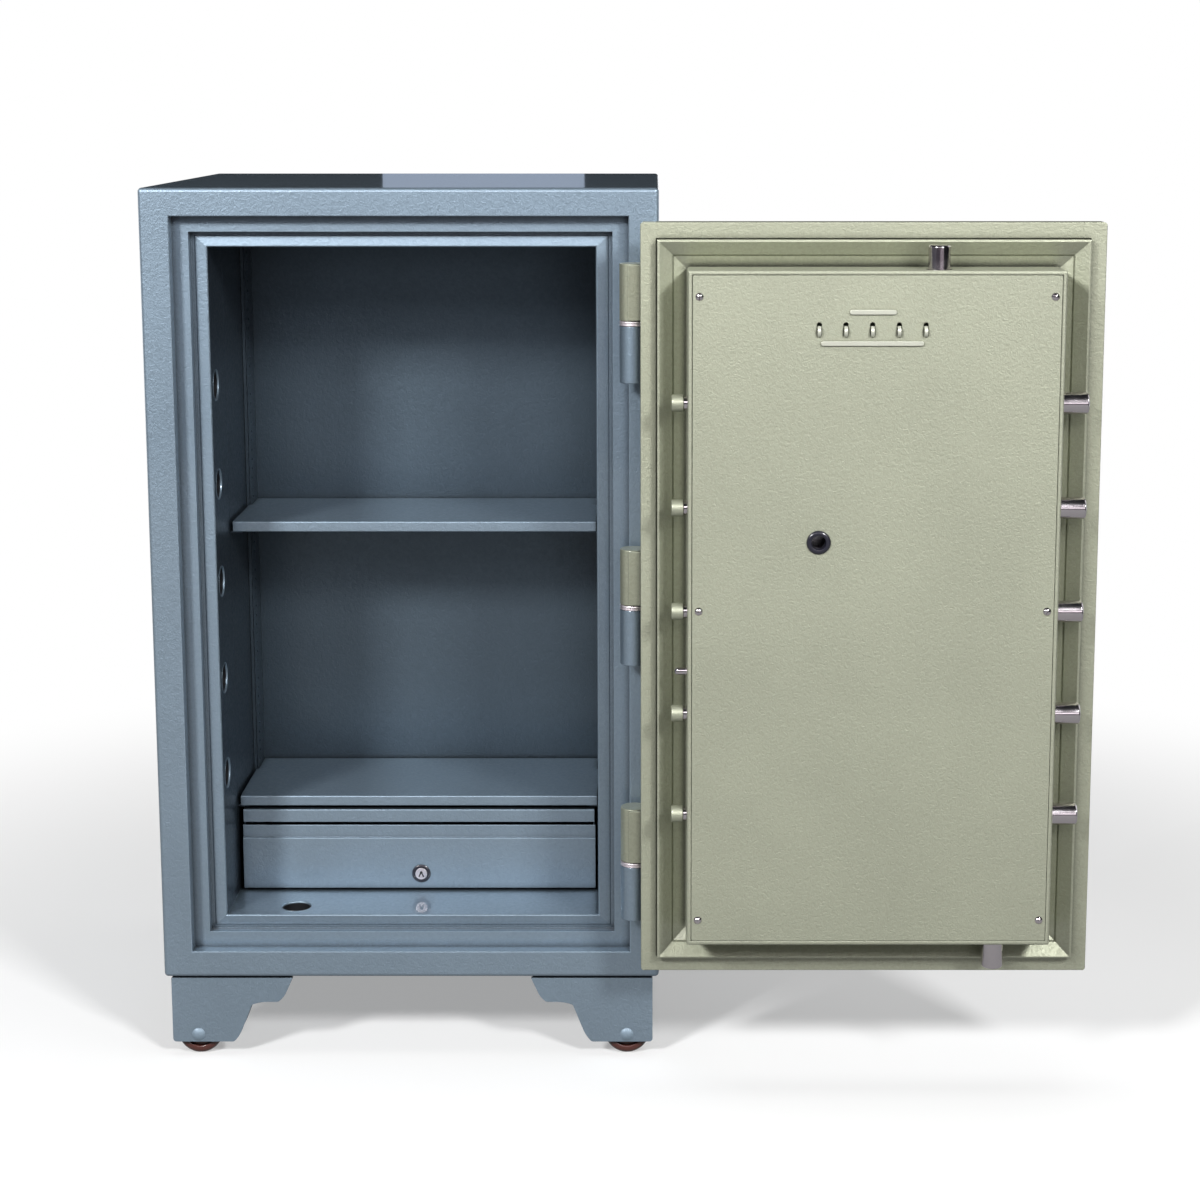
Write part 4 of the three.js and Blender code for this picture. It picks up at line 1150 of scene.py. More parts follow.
    def lining(self) -> None:
        """Builds the lining behind the doorway, with soft inner corners."""
        width, height = self.cavity
        outer = (width + self.lining_sheet, height + self.lining_sheet)
        front = self.casing_end + GAP
        shape = framed(
            [
                Station(width, height, self.back_wall),
                Station(width, height, front),
                Station(*outer, front),
                Station(*outer, self.back_wall + self.lining_sheet),
            ],
            PLAN.middle_z,
        )

        def inside(edge: BMEdge) -> bool:
            """Whether an edge is an inner corner."""
            walled = lies(edge, lambda p: abs(p.x) < width + NEAR)
            return walled and not lies(edge, lambda p: p.y < self.back_wall - NEAR)

        rounded_edges(shape, self.lining_corner, 4, inside)
        piece = Workpiece("lining_sheet", "safe_body", Drawing.BODY, "inner_paint", ("inner_liner",))
        piece.add(shape, Finish.INSIDE)
        # Painted shade: the lining's sideways-facing walls take the darker side-wall enamel.
        piece.paint(Finish.WALL, lambda f: abs(f.normal.x) > 0.95).finished()

    def strike_cups(self) -> None:
        """Builds the rolled collars of the strike holes and the dark cups behind them."""
        piece = Workpiece("strike_cups", "safe_body", Drawing.BODY, "body_paint")
        for strike in self.strikes():
            radius, depth = strike.radius, strike.depth
            bore = radius - self.collar_wall
            end = self.collar_length
            collar = [
                (radius + 0.9, 0.1),
                (radius + 0.7, -0.25),
                (radius + 0.2, -0.4),
                (bore + 0.8, -0.2),
                (bore + 0.25, 0.4),
                (bore, 1.1),
                (bore, end),
                (radius - 0.2, end),
                (radius - 0.2, 0.4),
                (radius + 0.9, 0.1),
            ]
            # Painted shade: the cup behind each collar takes the black dial finish, for the dark deep inside
            # the hole.
            shaded_hollow = [
                (0.0, depth),
                (bore, depth),
                (bore + GAP, end - 0.1),
                (radius - GAP, end - 0.1),
                (radius - GAP, depth + 0.8),
                (0.0, depth + 0.8),
            ]
            piece.add(turned(collar, strike.place, strike.direction), Finish.BODY)
            piece.add(turned(shaded_hollow, strike.place, strike.direction), Finish.DIAL)
        piece.finished()

    def build(self) -> None:
        """Builds the body's pieces and dresses its solids."""
        self.shell()
        self.stepped_frame()
        self.lining()
        self.strike_cups()
        dress("fire_fill", Finish.CAST)


@dataclass
class Shelving:
    """Two folded shelves and the perforated uprights that carry them."""

    safe: SafeBody
    front: float = 120.3
    back: float = 291.0
    half_width: float = 222.5
    lip: float = 13.0
    fold_back: float = 12.0
    sheet: float = 1.6
    top_edge: float = 1.8
    low_edge: float = 1.4
    upper_top: float = 641.5
    lower_top: float = 293.0
    upright_front: float = 241.0
    upright_back: float = 294.7
    stand_off: float = 5.4
    upright_sheet: float = 1.2
    upright_edge: float = 0.3
    slot_pitch: float = 12.0
    slot_size: Point = (5.0, 3.4)
    slot_from: float = 258.0
    slot_margin: float = 20.0
    arm_width: float = 14.0
    arm_front: float = 124.0
    arm_thickness: float = 2.0

    def shelf(self, name: str, node: str, top: float) -> None:
        """Builds one shelf.

        Args:
            name: its name.
            node: the solid that it stands for.
            top: height of its upper face.
        """
        low = top - self.lip
        sheet = self.sheet
        front, back = self.front, self.back
        profile = [
            Corner(front, top, self.top_edge),
            Corner(front, low, self.low_edge),
            Corner(front + self.fold_back, low),
            Corner(front + self.fold_back, low + sheet),
            Corner(front + sheet, low + sheet),
            Corner(front + sheet, top - sheet),
            Corner(back - sheet, top - sheet),
            Corner(back - sheet, low + sheet),
            Corner(back - self.fold_back, low + sheet),
            Corner(back - self.fold_back, low),
            Corner(back, low, self.low_edge),
            Corner(back, top, self.top_edge),
        ]
        shape = extruded(profile, "x", -self.half_width, self.half_width)
        notches = []
        for side in (-1, 1):
            left, right = span(side, self.safe.cavity[0] - self.stand_off - OVER, self.half_width + 5 * OVER)
            near = (left, self.upright_front - OVER, low - OVER)
            notches.append(block(near, (right, back + OVER, top + OVER)))
        piece = Workpiece(name, "safe_body", Drawing.BODY, "body_paint", (node,))
        piece.add(shape, Finish.BODY).cut(notches).finished()

    def upright(self, name: str, node: str, side: int) -> None:
        """Builds one perforated upright with its arms.

        Args:
            name: its name.
            node: the solid that it stands for.
            side: -1 at the left, 1 at the right.
        """
        wall = self.safe.cavity[0]
        face = wall - self.stand_off
        low, high = self.safe.floor + GAP, self.safe.roof - GAP
        edge = self.upright_edge
        piece = Workpiece(name, "safe_body", Drawing.BODY, "body_paint", (node,))
        piece.add(self.perforated_face(face, side), Finish.INSIDE)
        left, right = span(side, face + 0.2, wall - GAP)
        for near in (self.upright_front, self.upright_back - self.upright_sheet):
            flange = block((left, near, low), (right, near + self.upright_sheet, high), edge)
            piece.add(flange, Finish.INSIDE)
        left, right = span(side, wall - self.arm_width, wall - GAP)
        for top in (self.upper_top, self.lower_top):
            under = top - self.lip
            near = (left, self.arm_front, under - self.arm_thickness)
            piece.add(block(near, (right, self.upright_front + 2 * OVER, under), edge), Finish.INSIDE)
        piece.finished()

    def perforated_face(self, face: float, side: int) -> BMesh:
        """Builds the slotted sheet of an upright: a strip scored into squares, with the slots' squares out.

        Args:
            face: distance of its face from the middle of the safe.
            side: -1 at the left, 1 at the right.

        Returns:
            The sheet.
        """
        deep, tall = self.slot_size
        pitch = self.slot_pitch
        count = int((self.safe.roof - self.safe.floor - self.slot_margin) / pitch)
        low, high = self.safe.floor + GAP, self.safe.roof - GAP
        first = (low + high) / 2 - (count - 1) / 2 * pitch
        near, far = self.upright_front, self.upright_back
        shape = bmesh.new()
        corners = ((near, low), (far, low), (far, high), (near, high))
        shape.faces.new([shape.verts.new((y, z, 0)) for y, z in corners])
        scores = [((self.slot_from, 0, 0), (1, 0, 0)), ((self.slot_from + deep, 0, 0), (1, 0, 0))]
        for i in range(count):
            for edge in (-tall / 2, tall / 2):
                scores.append(((0, first + i * pitch + edge, 0), (0, 1, 0)))
        for place, normal in scores:
            geometry = [*shape.verts, *shape.edges, *shape.faces]
            bmesh.ops.bisect_plane(shape, geom=geometry, dist=MERGE / 10, plane_co=place, plane_no=normal)

        def in_slot(square: BMFace) -> bool:
            """Tells a slot's square.

            Args:
                square: a square of the sheet.

            Returns:
                Whether it fills a slot.
            """
            place = square.calc_center_median()
            off = (place.y - first + pitch / 2) % pitch - pitch / 2
            return abs(place.x - self.slot_from - deep / 2) < deep / 2 and abs(off) < tall / 2

        bmesh.ops.delete(shape, geom=[f for f in shape.faces if in_slot(f)], context="FACES")
        thickened(shape, self.upright_sheet)
        transformed(shape, Matrix(((0, 0, side, side * face), (1, 0, 0, 0), (0, 1, 0, 0), (0, 0, 0, 1))))
        bmesh.ops.recalc_face_normals(shape, faces=shape.faces)
        return shape

    def build(self) -> None:
        """Builds both shelves and both uprights."""
        self.shelf("upper_shelf_sheet", "upper_shelf", self.upper_top)
        self.shelf("lower_shelf_sheet", "lower_shelf", self.lower_top)
        self.upright("perforated_upright_left", "upright_left", -1)
        self.upright("perforated_upright_right", "upright_right", 1)


@dataclass
class DrawerUnit:
    """The drawer under the lower shelf, its case and its lock."""

    safe: SafeBody
    case_half: float = 219.3
    case_front: float = 118.0
    case_top: float = 276.0
    case_back: float = 291.0
    case_edge: float = 1.5
    hem_edge: float = 0.4
    rail_bottom: float = 259.8
    sheet: float = 1.5
    side_front: float = 122.5
    lift: float = 0.2
    face: float = 117.0
    strip: float = 120.0
    strip_back: float = 122.0
    bottom: float = 173.6
    fold: float = 239.6
    top: float = 255.3
    front_half: float = 220.5
    lock: Point = (2.0, 193.0)
    ring: float = 11.4
    ring_height: float = 1.8
    barrel: float = 8.8
    lock_length: float = 17.0
    plug: float = 7.4
    plug_rise: float = 0.4
    plug_overrun: float = 1.2
    keyway_lean: float = 24.0
    keyway_half: float = 0.8
    keyway_length: float = 7.2
    keyway_depth: float = 6.0
    keyway_top: float = 2.6
    keyway_round: float = 1.7

    def case(self) -> None:
        """Builds the case with its top rail."""
        half, sheet = self.case_half, self.sheet
        piece = Workpiece("drawer_case_sheet", "safe_body", Drawing.BODY, "inner_paint", ("drawer_case",))
        rail = [
            Corner(self.case_front, self.case_top, self.case_edge),
            Corner(self.case_front, self.rail_bottom, self.hem_edge),
            Corner(self.case_front + sheet, self.rail_bottom, self.hem_edge),
            Corner(self.case_front + sheet, self.case_top - sheet),
            Corner(self.case_back, self.case_top - sheet),
            Corner(self.case_back, self.case_top),
        ]
        piece.add(extruded(rail, "x", -half, half), Finish.BODY)
        floor = self.safe.floor + self.lift
        top = self.case_top - sheet - 0.05
        for x in (-half, half - sheet):
            side = block((x, self.side_front, floor), (x + sheet, self.case_back, top), 0.2)
            piece.add(side, Finish.INSIDE)
        rear = block((-half + sheet, self.case_back - sheet, floor), (half - sheet, self.case_back, top))
        piece.add(rear, Finish.INSIDE).finished()

    def front(self) -> None:
        """Builds the folded drawer front with the hole for its lock."""
        profile = [
            Corner(self.strip_back, self.bottom),
            Corner(self.strip_back, self.top, 0.5),
            Corner(self.strip, self.top, 0.9),
            Corner(self.strip, self.fold, 0.6),
            Corner(self.face, self.fold, 1.3),
            Corner(self.face, self.bottom, 1.0),
        ]
        piece = Workpiece("drawer_front_sheet", "drawer", Drawing.BODY, "body_paint", ("drawer_front",))
        shape = extruded(profile, "x", -self.front_half, self.front_half)
        start = (self.lock[0], self.face - 2 * OVER, self.lock[1])
        piece.add(shape, Finish.BODY).cut([rod(self.barrel + GAP, 12, start, BACKWARD)]).finished()

    def lock_ring(self) -> None:
        """Builds the black ring and barrel of the lock."""
        x, z = self.lock
        bore, ring, high = self.plug + GAP, self.ring, self.ring_height
        profile = [
            (bore, self.lock_length), (bore, 0.5), (bore + 0.5, 0.0), (ring - 2.2, 0.0),
            (ring - 0.7, 0.35), (ring, 1.1), (ring, high), (self.barrel, high),
            (self.barrel, self.lock_length), (bore, self.lock_length),
        ]
        piece = Workpiece("drawer_lock_ring", "drawer", Drawing.BODY, "black_metal", ("drawer_lock_body",))
        piece.add(turned(profile, (x, self.face - high, z), BACKWARD), Finish.BLACK).finished()

    def lock_plug(self) -> None:
        """Builds the lock's plug with its forked keyway and its cam."""
        x, z = self.lock
        start = self.face - self.ring_height - self.plug_rise
        radius, length = self.plug, self.lock_length + self.plug_overrun
        profile = [
            (0, 0), (radius - 0.6, 0.0), (radius - 0.15, 0.25), (radius, 0.8), (radius, length),
            (0, length),
        ]
        node = "drawer_lock_cylinder"
        piece = Workpiece("drawer_lock_plug", "drawer_plug", Drawing.BODY, "plated_steel", (node,))
        piece.add(turned(profile, (x, start, z), BACKWARD), Finish.SATIN)
        half, depth, top = self.keyway_half, self.keyway_depth, self.keyway_top
        for lean in (-self.keyway_lean, self.keyway_lean):
            slot = block((-half, -OVER, -self.keyway_length), (half, depth, 0.0))
            turn = Matrix.Rotation(math.radians(lean), 4, "Y")
            piece.cut([transformed(slot, Matrix.Translation((x, start, z + top)) @ turn)])
        piece.cut([rod(self.keyway_round, depth + OVER, (x, start - OVER, z + top - half), BACKWARD)])

        def in_shaded_keyway(face: BMFace) -> bool:
            """Tells a face of the keyway.

            Args:
                face: a face of the plug.

            Returns:
                Whether it lies inside.
            """
            middle = face.calc_center_median()
            inside = math.hypot(middle.x - x, middle.z - z) < radius - 1.5
            return inside and start + 0.3 < middle.y < start + depth + 0.5

        # Painted shade: the faces inside the keyway take the black finish, for the dark deep in the slot.
        piece.paint(Finish.BLACK, in_shaded_keyway)
        end = start + length
        cam = block((x - 4, end - 0.4, z - 5), (x + 4, end + 1.6, z + 14), 0.6)
        piece.add(cam, Finish.STEEL).finished()

    def build(self) -> None:
        """Builds the drawer's pieces and dresses its tray."""
        self.case()
        self.front()
        self.lock_ring()
        self.lock_plug()
        dress("drawer_tray", Finish.INSIDE)


@dataclass
class Undercarriage:
    """Four bracket feet, each with an axle and a wheel."""

    safe: SafeBody
    inset: float = 7.7
    front: float = 3.0
    plate: float = 5.0
    plate_edge: float = 0.7
    foot_depth: float = 44.0
    top_reach: Point = (1.0, 146.0)
    axle_inset: float = 31.3
    axle_z: float = 27.3
    shank_radius: float = 6.0
    nut_radius: float = 9.5
    nut_height: float = 6.0
    head_radius: float = 8.3
    head_height: float = 2.8
    wheel_radius: float = 27.3
    wheel_width: float = 30.0
    wheel_front: float = 10.0
    wheel_bore: float = 6.4
    tread_radius: float = 6.0
    web_share: float = 0.35
    outline: tuple[Corner, ...] = (
        Corner(0.0, 2.0, 1.0),
        Corner(147.8, 2.0, 1.0),
        Corner(136.0, 28.0, 7.0),
        Corner(129.0, 32.8, 5.0),
        Corner(107.0, 32.8, 9.0),
        Corner(97.0, 36.5, 4.0),
        Corner(81.0, 77.0, 8.0),
        Corner(74.0, 83.6, 5.0),
        Corner(0.0, 83.6, 4.0),
    )

    def along(self, distance: float, back: bool) -> float:
        """Depth of a point that lies at a distance from the end's own face."""
        return PLAN.depth - distance if back else distance

    def hub(self, side: int, distance: float, back: bool) -> tuple[Place, Place]:
        """A place on an axle's line, and the direction from the end's own face inwards."""
        x = side * (PLAN.half_width - self.inset - self.axle_inset)
        return (x, self.along(distance, back), self.axle_z), FORWARD if back else BACKWARD

    def foot(self, place: str, side: int, back: bool) -> None:
        """Builds a foot of two shaped plates and a top plate.

        Args:
            place: the foot's place, as in the solids' names.
            side: -1 at the left, 1 at the right.
            back: whether it stands at the back.
        """
        outer = PLAN.half_width - self.inset
        level = self.safe.bottom
        corners = [Corner(side * (outer - c.across), level - c.along, c.radius) for c in self.outline]
        piece = Workpiece(f"bracket_{place}", "safe_body", Drawing.BODY, "body_paint", (f"foot_{place}",))
        end = self.front + self.foot_depth
        for near in (self.front, end - self.plate):
            reach = sorted((self.along(near, back), self.along(near + self.plate, back)))
            plate = rounded_edges(extruded(corners, "y", *reach), self.plate_edge, 2, sharper_than=50)
            piece.add(plate, Finish.BODY)
        left, right = span(side, outer - self.top_reach[1], outer - self.top_reach[0])
        near, far = sorted((self.along(self.front + self.plate, back), self.along(end - self.plate, back)))
        top = block((left, near, level - self.plate), (right, far, level - 0.2))
        piece.add(top, Finish.BODY).finished()

    def axle(self, place: str, side: int, back: bool) -> None:
        """Builds the axle with its domed head and its nut.

        Args:
            place: the axle's place, as in the solids' names.
            side: -1 at the left, 1 at the right.
            back: whether it is at the back.
        """
        high, wide, nut = self.head_height, self.head_radius, self.nut_radius
        shank = high + self.foot_depth
        end = shank + self.nut_height
        profile = [
            *dome(wide, high, 0.93),
            (wide, high - 0.3), (wide, high), (self.shank_radius, high),
            (self.shank_radius, shank), (nut, shank), (nut, end - 1.0), (nut - 1.0, end),
            (0.0, end),
        ]
        piece = Workpiece(f"axle_bolt_{place}", "safe_body", Drawing.BODY, "body_paint", (f"axle_{place}",))
        piece.add(turned(profile, *self.hub(side, self.front - high, back)), Finish.AXLE).finished()

    def wheel(self, place: str, side: int, back: bool) -> None:
        """Builds a moulded wheel with a rounded tread and a sunk web.

        Args:
            place: the wheel's place, as in the solids' names.
            side: -1 at the left, 1 at the right.
            back: whether it is at the back.
        """
        bore, round_off = self.wheel_bore, self.tread_radius
        web = self.web_share * self.wheel_width / 2
        half = [
            (bore, 1.0), (bore + 0.6, 0.4), (11.5, 0.4), (12.5, 1.2), (13.0, web), (17.5, web),
            (18.5, 0.6), (19.5, 0.0),
            *arc((self.wheel_radius - round_off, round_off), round_off, -90.0, 0.0, 6),
        ]
        other = [(radius, self.wheel_width - height) for radius, height in reversed(half)]
        shape = turned([*half, *other, half[0]], *self.hub(side, self.wheel_front, back), 64)
        name = f"wheel_{place}"
        piece = Workpiece(f"roller_{place}", name, Drawing.BODY, "wheel_plastic", (name,))
        piece.add(shape, Finish.WHEEL).finished()

    def build(self) -> None:
        """Builds all four feet with their wheels."""
        for end, back in (("front", False), ("back", True)):
            for name, side in (("left", -1), ("right", 1)):
                place = f"{end}_{name}"
                self.foot(place, side, back)
                self.axle(place, side, back)
                self.wheel(place, side, back)


@dataclass
class Door:
    """The door's skin, inner pan, bolt box and cover."""

    half_width: float = 262.3
    half_height: float = 440.0
    face: float = -8.0
    flange: float = 17.0
    sheet: float = 3.0
    skin_edge: float = 4.6
    flange_edge: float = 1.3
    tongue_outer: float = 243.4
    tongue_inner: float = 226.0
    tongue_outer_top: float = 29.0
    tongue_inner_top: float = 19.5
    channel_inner: float = 210.5
    channel_floor: float = 10.5
    pan_floor: float = 12.0
    pan_edge: float = 0.7
    box_half: Point = (209.3, 389.0)
    box_face: float = 73.0
    box_sheet: float = 2.5
    box_rest: float = 14.3
    box_corner: float = 2.6
    rest_sheet: float = 1.8
    cover_sheet: float = 2.0
    cover_inset: float = 5.0
    cover_gap: float = 0.35
    cover_corner: float = 2.2
    cover_rise: float = 0.9
    bolt_hole: float = 14.2
    pin_hole: float = 8.2
    catch_hole: float = 5.0
    catch_drop: float = 68.0
    handle_hole: float = 8.3
    dial_hole: float = 4.3
    screw_side: float = 196.5
    screw_rises: tuple[float, ...] = (360.0, 4.7, -359.0)
    screw_radius: float = 4.6
    screw_height: float = 2.4
    screw_shank: Point = (1.6, 3.6)
    hook_xs: tuple[float, ...] = (64.0, 34.5, 5.0, -24.5, -54.0)
    hook_rise: float = 323.4
    hook_slot: Point = (5.8, 17.0)
    hook_width: float = 4.2
    hook_radius: float = 7.0
    hook_wire: float = 1.9
    ribs: tuple[Place, ...] = ((-21.5, 30.5, 343.0), (-52.0, 62.0, 308.2))
    rib_half: float = 2.7
    rib_height: float = 2.2
    key_x: float = 62.0
    key_rise: float = 84.0
    key_barrel: float = 11.2

    @property
    def box_middle(self) -> float:
        """Height of the middle of the bolt box."""
        return PLAN.middle_z + self.cover_rise

    @property
    def catch_z(self) -> float:
        """Height of the catch."""
        return self.box_middle - self.catch_drop

    def pan_station(self, half_width: float, depth: float) -> Station:
        """One rectangle of the door, from its half width."""
        return Station(half_width, self.half_height - (self.half_width - half_width), depth)

    def box_station(self, inset: float, depth: float) -> Station:
        """One rectangle of the bolt box."""
        return Station(self.box_half[0] - inset, self.box_half[1] - inset, depth)

    def spindle_holes(self) -> list[BMesh]:
        """Returns the rods where the handle's and the dial's spindles pass."""
        spindles = ((PLAN.handle, self.handle_hole), (PLAN.dial, self.dial_hole))
        return [rod(radius, 60, (x, self.face - 20, z), BACKWARD, 32) for (x, z), radius in spindles]

    def shell(self) -> None:
        """Builds the outer skin with its flange."""
        at = self.pan_station
        inner = self.tongue_outer + 0.5
        outer = self.half_width
        sheet = self.sheet
        shape = framed(
            [
                at(outer, self.face),
                at(outer, self.flange),
                at(inner, self.flange),
                at(inner, self.flange - sheet),
                at(outer - sheet, self.flange - sheet),
                at(outer - sheet, self.face + sheet),
            ],
            PLAN.middle_z,
        )

        def outside(edge: BMEdge) -> bool:
            """Tells an outer edge of the skin.

            Args:
                edge: an edge of the skin.

            Returns:
                Whether it lies on the outer corners or round the outer face.
            """
            upright = abs(edge.verts[0].co.y - edge.verts[1].co.y) > 1
            corner = upright and lies(edge, lambda p: abs(p.x) > outer - NEAR)
            return corner or lies(edge, lambda p: p.y < self.face + NEAR)

        rounded_edges(shape, self.skin_edge, 6, outside)
        rounded_edges(shape, self.flange_edge, 3, lambda e: self.long_edge(e, self.flange))
        piece = Workpiece("door_skin", "door", Drawing.DOOR, "door_paint", ("door_shell",))
        piece.add(shape, Finish.DOOR).cut(self.spindle_holes()).finished()

    @staticmethod
    def long_edge(edge: BMEdge, depth: float) -> bool:
        """Whether an edge is long and lies at a depth or behind it."""
        return lies(edge, lambda p: p.y > depth - NEAR) and edge.calc_length() > 50

    def inner_pan(self) -> None:
        """Builds the inner pan with its raised tongue round the channel."""
        at = self.pan_station
        outer, inner, wall = self.tongue_outer, self.tongue_inner, self.sheet
        under = self.flange - wall + GAP
        inside = inner + wall - 1.0
        shape = framed(
            [
                at(self.channel_inner, self.channel_floor),
                at(inner - 1.2, self.tongue_inner_top - 2.4),
                at(inner, self.tongue_inner_top),
                at(outer - 2.4, self.tongue_outer_top),
                at(outer, self.tongue_outer_top - 1.0),
                at(outer, under),
                at(outer - wall, under),
                at(outer - wall, self.tongue_outer_top - wall - 1.5),
                at(inside, self.pan_floor + 0.5),
                at(inside, self.channel_floor - 1.0),
            ],
            PLAN.middle_z,
        )
        rounded_edges(shape, self.pan_edge, 3, sharper_than=8)
        piece = Workpiece("door_inner_sheet", "door", Drawing.DOOR, "door_paint", ("door_inner_pan",))
        piece.add(shape, Finish.DOOR).cut(self.spindle_holes()).finished()

    def bolt_box(self) -> None:
        """Builds the box round the bolts."""
        at = self.box_station
        inset, face = self.cover_inset, self.box_face
        ledge = face - self.cover_sheet
        under = ledge - self.rest_sheet
        shape = framed(
            [
                at(0, self.pan_floor),
                at(0, face),
                at(inset, face),
                at(inset, ledge),
                at(inset + self.box_rest, ledge),
                at(inset + self.box_rest, under),
                at(self.box_sheet, under),
                at(self.box_sheet, self.pan_floor),
            ],
            self.box_middle,
            ring=True,
        )
        half, high = self.box_half

        def at_corner(place: Vector) -> bool:
            """Whether a place lies on an outer corner of the box."""
            return abs(place.x) > half - NEAR and abs(place.z - self.box_middle) > high - NEAR

        rounded_edges(shape, self.box_corner, 4, lambda e: lies(e, at_corner))
        rounded_edges(shape, self.flange_edge, 3, lambda e: self.long_edge(e, face))
        low, top = self.box_middle - high, self.box_middle + high
        y, inside, through = PLAN.bolt_y, 6 * OVER, 10 * OVER
        holes = [rod(self.bolt_hole, through, (-half + inside, y, z), LEFT) for z in PLAN.bolt_row]
        holes += [rod(self.pin_hole, through, (half - inside, y, z), RIGHT) for z in PLAN.bolt_row]
        holes.append(rod(self.bolt_hole, through, (PLAN.top_bolt_x, y, top - inside), UP))
        holes.append(rod(self.bolt_hole, through, (PLAN.bottom_bolt_x, y, low + inside), DOWN))
        holes.append(rod(self.catch_hole, through, (half - inside, y, self.catch_z), RIGHT))
        piece = Workpiece("bolt_box_sheet", "door", Drawing.DOOR, "door_paint", ("bolt_box",))
        piece.add(shape, Finish.COVER).cut(holes).finished()

    def cover(self) -> None:
        """Builds the cover with its slots, hooks and ribs."""
        inset = self.cover_inset + self.cover_gap
        face, middle = self.box_face, self.box_middle
        back = face - self.cover_sheet
        half, high = self.box_half[0] - inset, self.box_half[1] - inset
        shape = block((-half, back, middle - high), (half, face, middle + high))
        rounded_edges(shape, self.cover_corner, 4, lambda e: abs(e.verts[0].co.y - e.verts[1].co.y) > 1)
        rounded_edges(shape, 0.5, 2, lambda e: lies(e, lambda p: p.y > face - NEAR), 60)
        piece = Workpiece("bolt_cover", "door", Drawing.DOOR, "door_paint", ("cover_panel",))
        piece.add(shape, Finish.COVER)
        slot_z = middle + self.hook_rise
        wide, tall = self.hook_slot
        slots = []
        for x in self.hook_xs:
            outline = round_ended(x - wide / 2, x + wide / 2, slot_z - tall / 2, slot_z + tall / 2)
            slots.append(extruded(outline, "y", back - 2 * OVER, face + 2 * OVER))
        key = (self.key_x, back - 4 * OVER, middle + self.key_rise)
        piece.cut([*slots, rod(self.key_barrel + GAP, 10, key, BACKWARD)])
        # Painted highlight: the hooks and ribs take a paler green that stands for the light they catch.
        for x in self.hook_xs:
            piece.add(self.hook(x, slot_z), Finish.PALE)
        for left, right, rise in self.ribs:
            piece.add(self.rib(left, right, middle + rise), Finish.PALE)
        piece.finished()

    def hook(self, x: float, slot_z: float) -> BMesh:
        """Builds the bowed tab in a slot.

        Args:
            x: middle of the slot.
            slot_z: height of the slot's middle.

        Returns:
            The tab.
        """
        middle = (self.box_face - 2.4, slot_z - 2.0)
        half = self.hook_width / 2
        bow = arc(middle, self.hook_radius, -75.0, 70.0, 14)
        bow += arc(middle, self.hook_radius - self.hook_wire, 70.0, -75.0, 14)
        outline = [Corner(y, z) for y, z in bow]
        return rounded_edges(extruded(outline, "x", x - half, x + half), 0.7, 3, sharper_than=60)

    def rib(self, left: float, right: float, z: float) -> BMesh:
        """Builds a pressed rib with round ends.

        Args:
            left: where it starts.
            right: where it ends.
            z: its height.

        Returns:
            The rib.
        """
        crest = self.box_face + self.rib_height
        outline = round_ended(left, right, z - self.rib_half, z + self.rib_half)
        shape = extruded(outline, "y", self.box_face - 0.5, crest, 6)
        return rounded_edges(shape, 1.4, 4, lambda e: lies(e, lambda p: p.y > crest - NEAR), 60)

    def screws(self) -> None:
        """Builds the six domed screws, each with its slot turned its own way."""
        wide, high = self.screw_radius, self.screw_height
        shank, length = self.screw_shank
        top = [(radius, high - depth) for radius, depth in dome(wide, high)]
        profile = [*top, (shank, 0.0), (shank, -length), (0.0, -length)]
        near, far = self.box_face + 1.0, self.box_face + 5.0
        rows = [self.box_middle + rise for rise in self.screw_rises]
        places = [(side * self.screw_side, z) for z in rows for side in (1, -1)]
        for number, (x, z) in enumerate(places, 1):
            head, node = f"cover_screw_head_{number}", f"cover_screw_{number}"
            piece = Workpiece(head, "door", Drawing.DOOR, "chrome", (node,))
            piece.add(turned(profile, (x, self.box_face + 0.05, z), BACKWARD, 32), Finish.CHROME)
            slot = block((-5.0, near, -0.55), (5.0, far, 0.55))
            turn = Matrix.Rotation(math.radians(35.0 + 50.0 * number), 4, "Y")
            piece.cut([transformed(slot, Matrix.Translation((x, 0.0, z)) @ turn)]).finished()

    def key_bushing(self) -> None:
        """Builds the dark bushing of the change-key hole."""
        bore, flange, barrel, height, length = 8.0, 13.6, self.key_barrel, 2.6, 12.0
        ring = [
            (bore, -length), (bore, height - 1.2), (bore + 0.5, height - 0.3),
            (bore + 1.3, height), (flange - 2.6, height), (flange - 1.2, height - 0.5),
            (flange - 0.2, height - 1.6), (flange, 0.1), (barrel, 0.1), (barrel, -length),
            (bore, -length),
        ]
        start = (self.key_x, self.box_face, self.box_middle + self.key_rise)
        piece = Workpiece("key_hole_bushing", "door", Drawing.DOOR, "black_metal", ("change_key_bushing",))
        piece.add(turned(ring, start, BACKWARD), Finish.BLACK).finished()

    def build(self) -> None:
        """Builds the door's sheet pieces and their small parts."""
        self.shell()
        self.inner_pan()
        self.bolt_box()
        self.cover()
        self.screws()
        self.key_bushing()
        dress("door_fill", Finish.CAST)
        dress("lock_case", Finish.STEEL)


